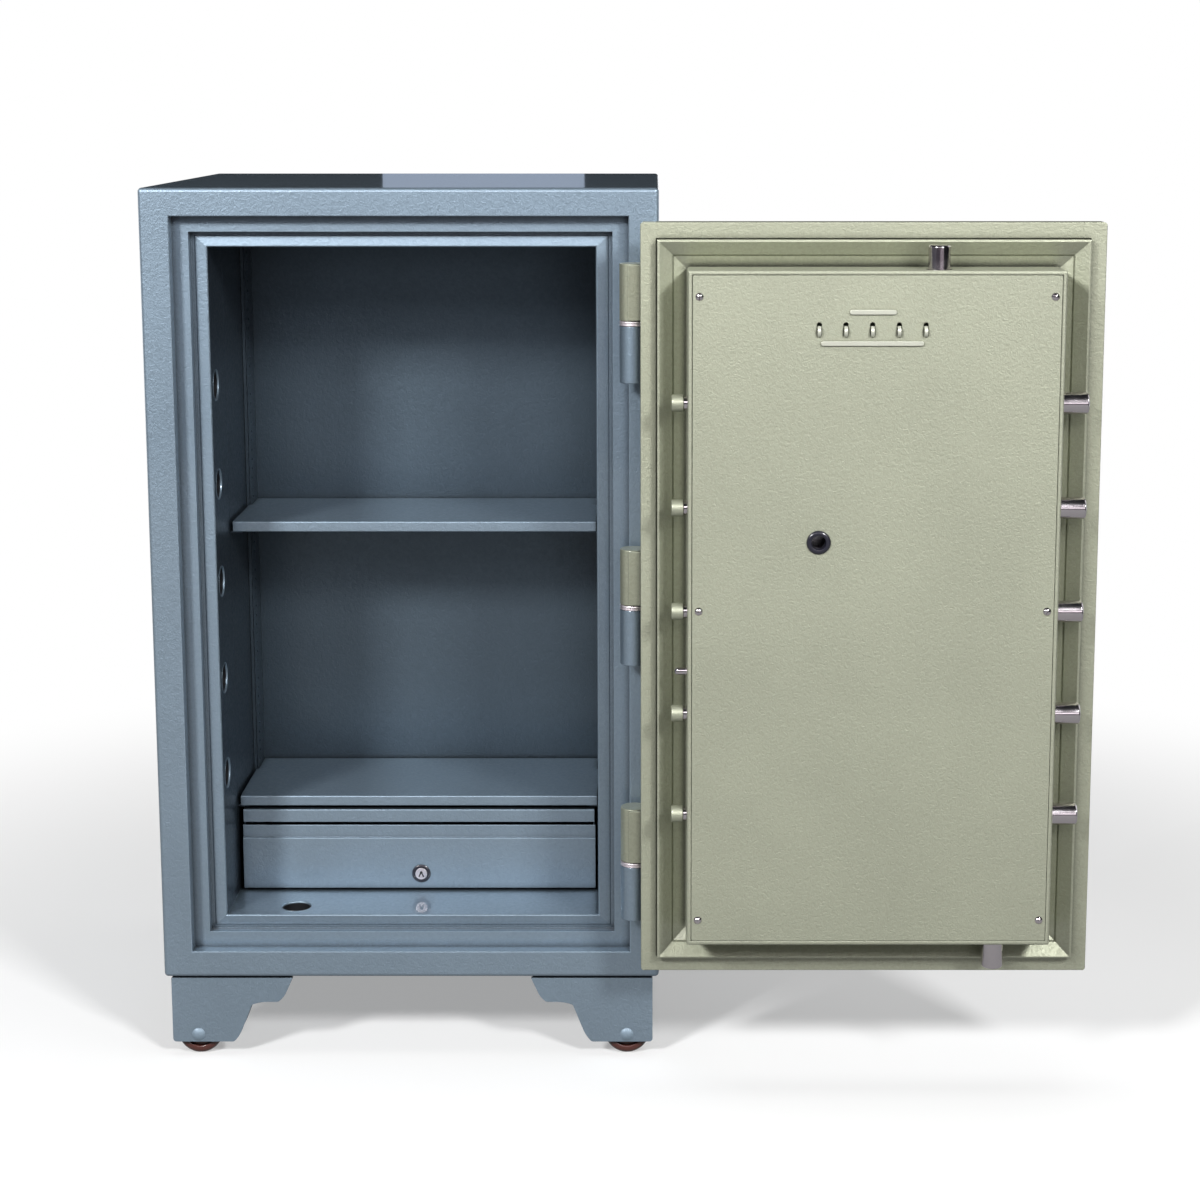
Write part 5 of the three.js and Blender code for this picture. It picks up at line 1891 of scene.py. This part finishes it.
@dataclass
class Hinges:
    """Three lift-off hinges."""

    door: Door
    washer_heights: tuple[float, ...] = (899.5, 567.6, 256.1)
    radius: float = 16.0
    height: float = 66.0
    edge: float = 1.2
    washer_height: float = 5.4
    washer_gap: float = 0.1
    pin_radius: float = 6.0
    pin_rise: float = 52.0
    web_left: float = 265.0
    web_right: float = 284.0
    fillet: float = 1.6
    strap_thickness: float = 6.0
    strap_reach: float = 96.0
    strap_overhang: float = 6.0

    def barrel(self) -> list[Point]:
        """Draws the outline of a knuckle.

        Returns:
            Pairs of radius and height, from its lower face to its upper one.
        """
        radius, edge, height = self.radius, self.edge, self.height
        bow = 0.35 * edge
        return [
            (radius - edge, 0), (radius - bow, bow), (radius, edge), (radius, height - edge),
            (radius - bow, height - bow), (radius - edge, height),
        ]

    def lower(self, number: int, washer_z: float) -> None:
        """Builds the body's half of a hinge.

        Args:
            number: the hinge's number, from the top.
            washer_z: height of the hinge's washer.
        """
        x, y = HINGE_LINE
        height, pin = self.height, self.pin_radius
        top = washer_z - self.washer_height / 2 - self.washer_gap
        bottom = top - height
        end = height + self.pin_rise
        profile = [(0, 0), *self.barrel(), (pin, height), (pin, end - 2), (pin - 2, end), (0, end)]
        node = f"hinge_lower_{number}"
        piece = Workpiece(f"hinge_knuckle_body_{number}", "safe_body", Drawing.BODY, "body_paint", (node,))
        piece.add(turned(profile, (x, y, bottom), UP), Finish.BODY)
        low = bottom + self.edge
        web = block((self.web_left, y, low), (self.web_right, 0.0, top - self.edge), 1.0)
        piece.add(web, Finish.BODY)
        wide, length = self.fillet, height - 2 * self.edge
        bead = [(0, 0), (wide, wide / 2), (wide, length - wide / 2), (0, length)]
        for x_side in (self.web_left, self.web_right):
            piece.add(turned(bead, (x_side, -0.6, low), UP, 16), Finish.BODY)
        piece.finished()

    def washer(self, number: int, washer_z: float) -> None:
        """Builds the bright ring between the knuckles.

        Args:
            number: the hinge's number, from the top.
            washer_z: its height.
        """
        half = self.washer_height / 2
        inner = self.pin_radius + GAP
        outer = self.radius + 0.4
        ring = [
            (inner, -half), (outer - 0.7, -half), (outer - 0.15, -half + 0.3),
            (outer, -half + 0.8), (outer - 0.15, -half + 1.3), (outer - 0.9, -half + 1.7),
            (outer - 1.0, half - 2.6), (outer - 0.3, half - 2.2), (outer, half - 1.2),
            (outer - 0.3, half - 0.4), (outer - 0.9, half), (inner, half), (inner, -half),
        ]
        node = f"hinge_washer_{number}"
        piece = Workpiece(f"hinge_ring_{number}", "safe_body", Drawing.BODY, "chrome", (node,))
        piece.add(turned(ring, (*HINGE_LINE, washer_z), UP), Finish.SATIN).finished()

    def upper(self, number: int, washer_z: float) -> None:
        """Builds the door's half of a hinge.

        Args:
            number: the hinge's number, from the top.
            washer_z: height of the hinge's washer.
        """
        x, y = HINGE_LINE
        edge, height, face = self.edge, self.height, self.door.face
        bottom = washer_z + self.washer_height / 2 + self.washer_gap
        bore, pin_end = self.pin_radius + GAP, self.pin_rise + 2
        barrel = self.barrel()
        profile = [*barrel, (0, height), (0, pin_end), (bore, pin_end), (bore, 0), barrel[0]]
        node = f"hinge_upper_{number}"
        piece = Workpiece(f"hinge_knuckle_door_{number}", "door", Drawing.DOOR, "door_paint", (node,))
        piece.add(turned(profile, (x, y, bottom), UP), Finish.DOOR)
        low = (x - self.strap_reach, face - self.strap_thickness, bottom + edge)
        strap = block(low, (x + self.strap_overhang, face, bottom + height - edge), edge)
        piece.add(strap, Finish.DOOR).finished()

    def build(self) -> None:
        """Builds all three hinges."""
        for number, washer_z in enumerate(self.washer_heights, 1):
            self.lower(number, washer_z)
            self.washer(number, washer_z)
            self.upper(number, washer_z)


@dataclass
class Boltwork:
    """The live bolts, the fixed pins and the catch.

    The top and the bottom bolt are given by the heights of their tip, shoulder and inner end.
    """

    door: Door
    radius: float = 12.5
    tip: float = 238.8
    inner: float = 196.0
    pin_radius: float = 9.7
    pin_neck: float = 7.7
    pin_neck_end: float = 213.3
    pin_tip: float = 227.3
    strip_thickness: float = 4.5
    strip_half_depth: float = 12.0
    strip_overrun: float = 30.0
    catch_radius: float = 4.5
    catch_tip: float = 223.8
    catch_inner: float = 190.0
    rod_radius: float = 6.0
    rod_edge: float = 0.6
    shoulder_edge: float = 1.0
    top_bolt: Place = (994.0, 900.0, 592.0)
    bottom_bolt: Place = (157.5, 250.0, 560.0)

    def bolt_end(self, length: float) -> list[Point]:
        """Profile of a bolt's end: a chamfered and lightly dished face.

        Args:
            length: the bolt's length.

        Returns:
            Pairs of radius and height.
        """
        radius, chamfer, dish = self.radius, 2.2, length - 0.4
        return [
            (radius, length - chamfer), (radius - 0.25, length - 1.5),
            (radius - 1.5, length - 0.25), (radius - chamfer, length), (2.2, length),
            (1.8, dish), (0.0, dish),
        ]

    def side_bolts(self) -> None:
        """Builds the five side bolts."""
        profile = [(0, 0), (self.radius, 0), *self.bolt_end(self.tip - self.inner)]
        for number, z in enumerate(PLAN.bolt_row, 1):
            node = f"side_bolt_{number}"
            piece = Workpiece(f"live_bolt_{number}", "side_bolts", Drawing.DOOR, "chrome", (node,))
            bolt = turned(profile, (-self.inner, PLAN.bolt_y, z), LEFT, 64)
            piece.add(bolt, Finish.CHROME).finished()

    def end_bolt(self, name: str, node: str, x: float, heights: Place) -> None:
        """Builds the top or the bottom bolt with its rod.

        Args:
            name: its name.
            node: the solid that it stands for and the body that it moves with.
            x: where it stands.
            heights: heights of its tip, its shoulder and its inner end.
        """
        tip, shoulder, end = heights
        neck = abs(shoulder - end)
        thin, edge = self.rod_radius, self.shoulder_edge
        profile = [
            (0, 0), (thin - self.rod_edge, 0), (thin, self.rod_edge), (thin, neck),
            (self.radius - edge, neck), (self.radius, neck + edge),
            *self.bolt_end(abs(tip - end)),
        ]
        shape = turned(profile, (x, PLAN.bolt_y, end), UP if tip > end else DOWN, 64)
        Workpiece(name, node, Drawing.DOOR, "chrome", (node,)).add(shape, Finish.CHROME).finished()

    def fixed_pins(self) -> None:
        """Builds the strip with its five pins: bare necks and painted heads."""
        y, row, radius = PLAN.bolt_y, PLAN.bolt_row, self.pin_radius
        inner = self.door.box_half[0] - self.door.box_sheet - GAP
        low = (inner - self.strip_thickness, y - self.strip_half_depth, row[0] - self.strip_overrun)
        high = (inner, y + self.strip_half_depth, row[-1] + self.strip_overrun)
        piece = Workpiece("fixed_pins", "door", Drawing.DOOR, "door_paint", ("fixed_pin_strip",))
        piece.add(block(low, high, 0.6), Finish.DOOR)
        piece.cut([rod(self.door.catch_hole, 20, (inner - 10, y, self.door.catch_z), RIGHT, 24)])
        start = inner - self.strip_thickness / 2
        neck_end, length = self.pin_neck_end - start, self.pin_tip - start
        head = [
            (0, neck_end), (radius - 0.8, neck_end), (radius, neck_end + 0.8),
            (radius, length - 1.8), (radius - 0.5, length - 0.6), (radius - 1.6, length),
            (0, length),
        ]
        for z in row:
            piece.add(rod(self.pin_neck, neck_end + 0.5, (start, y, z), RIGHT), Finish.CHROME)
            piece.add(turned(head, (start, y, z), RIGHT), Finish.DOOR)
        piece.finished()

    def catch(self) -> None:
        """Builds the bright catch with its half-round end."""
        radius, length = self.catch_radius, self.catch_tip - self.catch_inner
        tip = arc((0.0, length - radius), radius, 0.0, 90.0, 8)[:-1]
        profile = [(0, 0), (radius, 0), *tip, (0.0, length)]
        start = (self.catch_inner, PLAN.bolt_y, self.door.catch_z)
        piece = Workpiece("snap_catch", "door", Drawing.DOOR, "chrome", ("catch_pin",))
        piece.add(turned(profile, start, RIGHT, 32), Finish.CHROME).finished()

    def build(self) -> None:
        """Builds all bolts and pins."""
        self.side_bolts()
        self.end_bolt("live_bolt_top", "top_bolt", PLAN.top_bolt_x, self.top_bolt)
        self.end_bolt("live_bolt_bottom", "bottom_bolt", PLAN.bottom_bolt_x, self.bottom_bolt)
        self.fixed_pins()
        self.catch()
        dress("bolt_carrier", Finish.STEEL)


@dataclass
class DoorFurniture:
    """The lever handle with its cam, and the combination dial in its ring, on the door's outer side."""

    door: Door
    hub: float = 17.0
    rose: float = 28.0
    stand_off: float = 46.0
    lever_length: float = 118.0
    lever_rise: float = 15.0
    spindle: float = 8.0
    cam_radius: float = 45.0
    cam_near: float = 30.0
    cam_far: float = 36.0
    cam_edge: float = 0.8
    pin_circle: float = 38.25
    cam_pin: float = 4.0
    cam_pin_edge: float = 0.6
    pin_reach: float = 8.0
    dial_radius: float = 35.0
    dial_height: float = 30.0
    dial_spindle: float = 4.0
    dial_reach: float = 56.0
    knob: float = 18.0
    flutes: int = 24
    flute_radius: float = 1.8
    flute_out: float = 0.8
    marks: int = 50
    long_mark: Point = (0.4, 2.1)
    short_mark: Point = (0.25, 1.2)
    mark_height: float = 0.12
    ring_inner: float = 36.0
    ring_outer: float = 44.0
    ring_height: float = 6.0

    def lever_handle(self) -> None:
        """Builds the hub on its rose, the tapered lever, and the spindle with its cam."""
        x, z = PLAN.handle
        hub, rose, high = self.hub, self.rose, self.stand_off
        cam, edge = self.cam_radius, self.cam_edge
        front = self.door.face - GAP - high
        near, far = self.cam_near - front, self.cam_far - front
        core = [
            (0.0, 1.2), (hub - 8.5, 0.9), (hub - 7.5, 0.0), (hub - 4.0, 0.0), (hub - 1.8, 0.6),
            (hub - 0.5, 1.8), (hub, 3.4), (hub, high - 16.0), (hub - 0.8, high - 15.0),
            (hub, high - 14.0), (hub + 0.3, high - 10.0), (hub + 1.6, high - 7.4),
            (hub + 4.2, high - 5.8), (rose - 2.8, high - 5.0), (rose - 1.0, high - 4.3),
            (rose, high - 3.0), (rose, high), (self.spindle, high), (self.spindle, near),
            (cam - edge, near), (cam, near + edge), (cam, far - edge), (cam - edge, far),
            (0.0, far),
        ]
        length = self.lever_length
        lever = [
            (0.0, 0.0), (8.4, 0.0), (9.0, 14.0), (8.8, 25.0), (8.0, 44.0), (7.6, 62.0),
            (7.8, 78.0), (8.6, 92.0), (9.3, 101.0), (9.5, length - 12.0), (9.2, length - 7.5),
            (8.2, length - 3.8), (6.2, length - 1.3), (3.2, length - 0.3), (0.0, length),
        ]
        piece = Workpiece("lever_handle", "handle", Drawing.DOOR, "chrome", ("door_handle",))
        piece.add(turned(core, (x, front, z), BACKWARD, 64), Finish.CHROME)
        piece.add(turned(lever, (x, front + self.lever_rise, z), LEFT), Finish.CHROME)
        radius, edge, circle = self.cam_pin, self.cam_pin_edge, self.pin_circle
        start = self.cam_near + OVER
        reach = self.cam_far - start + self.pin_reach
        pin = [(0, 0), (radius, 0), (radius, reach - edge), (radius - edge, reach), (0, reach)]
        for quarter in range(3):
            angle = quarter * RIGHT_ANGLE
            place = (x + circle * math.cos(angle), start, z + circle * math.sin(angle))
            piece.add(turned(pin, place, BACKWARD, 24), Finish.STEEL)
        piece.finished()

    def combination_dial(self) -> None:
        """Builds the fluted knob on its black plate with white marks."""
        x, z = PLAN.dial
        knob, radius, high = self.knob, self.dial_radius, self.dial_height
        front = self.door.face - GAP - high
        grip = [
            (0.0, 0.9), (knob - 7.0, 0.6), (knob - 6.2, 0.0), (knob - 3.0, 0.0),
            (knob - 1.2, 0.5), (knob - 0.3, 1.4), (knob, 2.6), (knob, high - 8.0),
            (0.0, high - 8.0),
        ]
        plate = [
            (0.0, high - 9.0), (knob + 1.0, high - 9.0), (knob + 2.5, high - 8.4),
            (radius - 5.0, high - 6.0), (radius - 0.5, high - 3.3), (radius, high - 2.4),
            (radius, high - 0.4), (radius - 0.4, high), (self.dial_spindle, high),
            (self.dial_spindle, self.dial_reach), (0.0, self.dial_reach),
        ]
        node = "combination_dial"
        piece = Workpiece("combination_dial_knob", "dial", Drawing.DOOR, "plated_steel", (node,))
        piece.add(turned(grip, (x, front, z), BACKWARD, 96), Finish.CHROME)
        circle = knob + self.flute_out
        flutes = []
        for number in range(self.flutes):
            angle = FULL_TURN * number / self.flutes
            place = (x + circle * math.cos(angle), front - 2 * OVER, z + circle * math.sin(angle))
            flutes.append(rod(self.flute_radius, high - 9.0, place, BACKWARD, 16))
        piece.cut(flutes)
        piece.add(turned(plate, (x, front, z), BACKWARD, 96), Finish.DIAL)
        # The marks lie halfway up the slope of the plate.
        slope = math.atan2(2.7, 4.5)
        lie = Matrix.Translation((0.0, high - 4.65, radius - 2.75)) @ Matrix.Rotation(-slope, 4, "X")
        for number in range(self.marks):
            wide, half = self.short_mark if number % 5 else self.long_mark
            mark = block((-wide, -self.mark_height, -half), (wide, self.mark_height, half))
            round_dial = Matrix.Rotation(FULL_TURN * number / self.marks, 4, "Y")
            piece.add(transformed(mark, Matrix.Translation((x, front, z)) @ round_dial @ lie), Finish.WHITE)
        piece.finished()

    def index_ring(self) -> None:
        """Builds the ring round the dial, with its index mark on top."""
        x, z = PLAN.dial
        inner, outer, high = self.ring_inner, self.ring_outer, self.ring_height
        profile = [
            (inner, 0.0), (outer, 0.0), (outer - 0.1, high - 1.6), (outer - 0.7, high - 0.4),
            (outer - 1.7, high), (inner + 2.2, high), (inner + 1.2, high - 0.5),
            (inner + 0.5, high - 2.0), (inner, 0.0),
        ]
        piece = Workpiece("dial_index_ring", "door", Drawing.DOOR, "black_metal", ("dial_ring",))
        piece.add(turned(profile, (x, self.door.face, z), FORWARD, 96), Finish.BLACK)
        front = self.door.face - high
        index = block((x - 0.6, front - 0.15, z + inner + 2.4), (x + 0.6, front + 0.3, z + outer - 2.0))
        piece.add(index, Finish.WHITE).finished()

    def build(self) -> None:
        """Builds the handle, the dial and its ring."""
        self.lever_handle()
        self.combination_dial()
        self.index_ring()


@dataclass(frozen=True)
class Lamp:
    """A soft lamp, in metres and watts. A lamp that isn't mirrored doesn't show in bright surfaces."""

    name: str
    place: Place
    aim: Place
    size: Point
    power: float
    mirrored: bool = True

    def hang(self) -> None:
        """Hangs the lamp."""
        data = bpy.data.lights.new(self.name, "AREA")
        data.shape = "RECTANGLE"
        data.size, data.size_y = self.size
        data.energy = self.power
        lamp = placed(self.name, data)
        lamp.location = self.place
        lamp.rotation_euler = (Vector(self.aim) - Vector(self.place)).to_track_quat("-Z", "Y").to_euler()
        lamp.visible_camera = False
        lamp.visible_glossy = self.mirrored


@dataclass(frozen=True)
class Card:
    """A flat card that only reflections see, from its lowest to its highest corner, in metres."""

    name: str
    low: Place
    high: Place
    color: str
    strength: float = 1.0

    def hang(self) -> None:
        """Hangs the card."""
        edges = [(a - MM / 2, b + MM / 2) if a == b else (a, b) for a, b in zip(self.low, self.high)]
        low, high = zip(*edges)
        sheet = NodeSheet.material(self.name)
        card = placed(self.name, mesh_data(block(low, high), self.name))
        card.data.materials.append(sheet.surface(sheet.glow(linear(self.color), self.strength)))
        card.visible_camera = False
        card.visible_diffuse = False
        card.visible_shadow = False
        card.visible_transmission = False


@dataclass
class Studio:
    """The floor, the lamps, the cards, the world and the camera, in metres and degrees.

    Attributes:
        lens: focal length of the camera, in millimetres.
        camera_place: where the camera stands.
        camera_pitch: how far it looks down.
        shift: its lens shift, as shares of the picture's width.
        floor_size: width of the floor.
        floor_tone: how pale the floor is.
        floor_glow: light that the camera sees in it, on top of what the lamps give.
        floor_bounce: how pale it is for the light that it throws back.
        floor_mirrored: how bright it is in the safe's gloss.
        floor_end: where the floor starts to run out into white, and where it has done so.
        ambient: light from all round.
        room: distances of the left, right, front and rear cards.
        ceiling: height of the ceiling.
        skyline: height up to which the background is pale.
        soft_aim: what the two front lamps face.
        overhead: where the lamp overhead hangs, to the right and to the back.
    """

    lens: float = 70.76
    camera_place: Place = (0.0439, -2.9115, 1.1584)
    camera_pitch: float = 9.287
    shift: Point = (-0.046, -0.1)
    floor_size: float = 60.0
    floor_tone: float = 0.5
    floor_glow: float = 0.34
    floor_bounce: float = 0.13
    floor_mirrored: float = 0.2
    floor_end: Point = (0.8, 1.8)
    ambient: float = 0.02
    room: tuple[float, float, float, float] = (-4.0, 4.0, -4.8, 3.5)
    ceiling: float = 4.5
    skyline: float = 1.03
    soft_aim: Place = (-0.05, -0.2, 0.62)
    overhead: Point = (0.05, 0.0)

    def lamps(self) -> list[Lamp]:
        """Lists the lamps.

        Returns:
            Two in front and one overhead.
        """
        over = (*self.overhead, 3.3)
        return [
            Lamp("left_softbox", (-3.0, -4.2, 3.5), self.soft_aim, (0.9, 0.9), 350.0),
            Lamp("right_softbox", (2.8, -4.2, 3.5), self.soft_aim, (0.9, 0.9), 300.0),
            Lamp("overhead_softbox", over, (*self.overhead, 0.0), (2.4, 1.8), 48.0, mirrored=False),
        ]

    def cards(self) -> list[Card]:
        """Lists the cards.

        Returns:
            The room of cards that the enamel and the metal mirror.
        """
        left, right, front, rear = self.room
        top, sky = self.ceiling, self.skyline
        near = front + 0.05
        pale, bright = "C4C6CA", "F2ECEF"
        return [
            Card("dark_wall_behind", (left, rear, sky), (right, rear, top), "1C1E20"),
            Card("pale_wall_behind", (left, rear, 0.0), (right, rear, sky), pale, 2.2),
            Card("pale_panel_behind", (-0.68, rear - 0.1, sky), (-0.144, rear - 0.1, 1.45), "98A5B9"),
            Card("dark_ceiling", (left, front, top), (right, rear, top), "222426"),
            Card("grey_wall_in_front", (left, front, 0.0), (right, front, top), "4A464D"),
            Card("pale_wall_in_front", (0.3, near, 0.2), (right, near, 1.15), "958D93"),
            Card("bright_strip_in_front", (0.6, near, 1.15), (3.6, near, 1.8), bright, 2.8),
            Card("bright_bar_in_front", (-1.8, -4.6, 2.4), (1.2, -4.6, 3.5), bright, 5.5),
            Card("dark_wall_right", (3.5, front, 0.0), (3.5, 0.5, top), "1A1B1D"),
            Card("grey_wall_left", (-3.7, front, 0.0), (-3.7, 0.4, top), "5A5A60"),
            Card("pale_wall_left", (-3.7, 0.4, 0.0), (-3.7, rear, sky), pale, 2.2),
            Card("pale_wall_right", (3.5, 0.5, 0.0), (3.5, rear, sky), pale, 2.2),
        ]

    def camera(self) -> None:
        """Makes the camera at the photograph's angle."""
        data = bpy.data.cameras.new("camera")
        data.lens = self.lens
        data.sensor_width = 36.0
        data.shift_x, data.shift_y = self.shift
        data.clip_end = 200.0
        camera = placed("camera", data)
        camera.location = self.camera_place
        camera.rotation_euler = (math.radians(90 - self.camera_pitch), 0.0, 0.0)
        bpy.context.scene.camera = camera

    def floor(self) -> None:
        """Makes the pale floor, which runs out into the white background."""
        white = linear("FFFFFF")
        sheet = NodeSheet.material("pale_floor")
        distance = sheet.node("ShaderNodeVectorMath", {0: sheet.place()}, operation="LENGTH").outputs["Value"]
        far = sheet.stretched(distance, self.floor_end, (0.0, 1.0), "SMOOTHSTEP")
        path = sheet.node("ShaderNodeLightPath").outputs

        def matt(tone: float) -> Socket:
            """Adds a matt grey."""
            return sheet.node("ShaderNodeBsdfDiffuse", {"Color": (tone, tone, tone, 1.0)}).outputs[0]

        def both(first: Socket, second: Socket) -> Socket:
            """Adds two shaders up."""
            return sheet.node("ShaderNodeAddShader", {0: first, 1: second}).outputs[0]

        near = both(matt(self.floor_tone), sheet.glow(white, self.floor_glow))
        seen = sheet.node("ShaderNodeMixShader", {0: far, 1: near, 2: sheet.glow(white, 1.0)}).outputs[0]
        mirrored = {0: path["Is Glossy Ray"], 1: self.floor_mirrored}
        share = sheet.node("ShaderNodeMath", mirrored, operation="MULTIPLY").outputs[0]
        unseen = both(matt(self.floor_bounce), sheet.glow(white, share))
        mix = sheet.node("ShaderNodeMixShader", {0: path["Is Camera Ray"], 1: unseen, 2: seen})
        shape = bmesh.new()
        bmesh.ops.create_grid(shape, x_segments=1, y_segments=1, size=self.floor_size / 2)
        floor = placed("studio_floor", mesh_data(shape, "studio_floor"))
        floor.data.materials.append(sheet.surface(mix.outputs["Shader"]))

    def world(self) -> None:
        """Makes the white background, which metal sees as well, and a soft light from all round."""
        world = bpy.data.worlds.new("studio")
        bpy.context.scene.world = world
        sheet = NodeSheet(world, "ShaderNodeOutputWorld")
        path = sheet.node("ShaderNodeLightPath").outputs
        seen = path["Is Camera Ray"]
        for name in ("Is Glossy Ray", "Is Transmission Ray"):
            seen = sheet.node("ShaderNodeMath", {0: seen, 1: path[name]}, operation="MAXIMUM").outputs[0]
        strength = sheet.stretched(seen, (0.0, 1.0), (self.ambient, 1.0))
        background = sheet.node("ShaderNodeBackground", {"Color": linear("FFFFFF"), "Strength": strength})
        sheet.surface(background.outputs[0])

    def build(self) -> None:
        """Sets up the whole studio."""
        self.camera()
        self.floor()
        self.world()
        for item in (*self.lamps(), *self.cards()):
            item.hang()
        bpy.context.scene.view_settings.view_transform = "Standard"


def main() -> None:
    """Builds the studio and the safe."""
    logging.basicConfig(level=logging.INFO, format="%(name)s: %(message)s")
    safe, door = SafeBody(), Door()
    parts = [
        Studio(),
        safe,
        Shelving(safe),
        DrawerUnit(safe),
        Undercarriage(safe),
        Hinges(door),
        door,
        Boltwork(door),
        DoorFurniture(door),
    ]
    for part in parts:
        part.build()
        LOG.info("built %s", type(part).__name__)


if __name__ == "__main__":
    main()
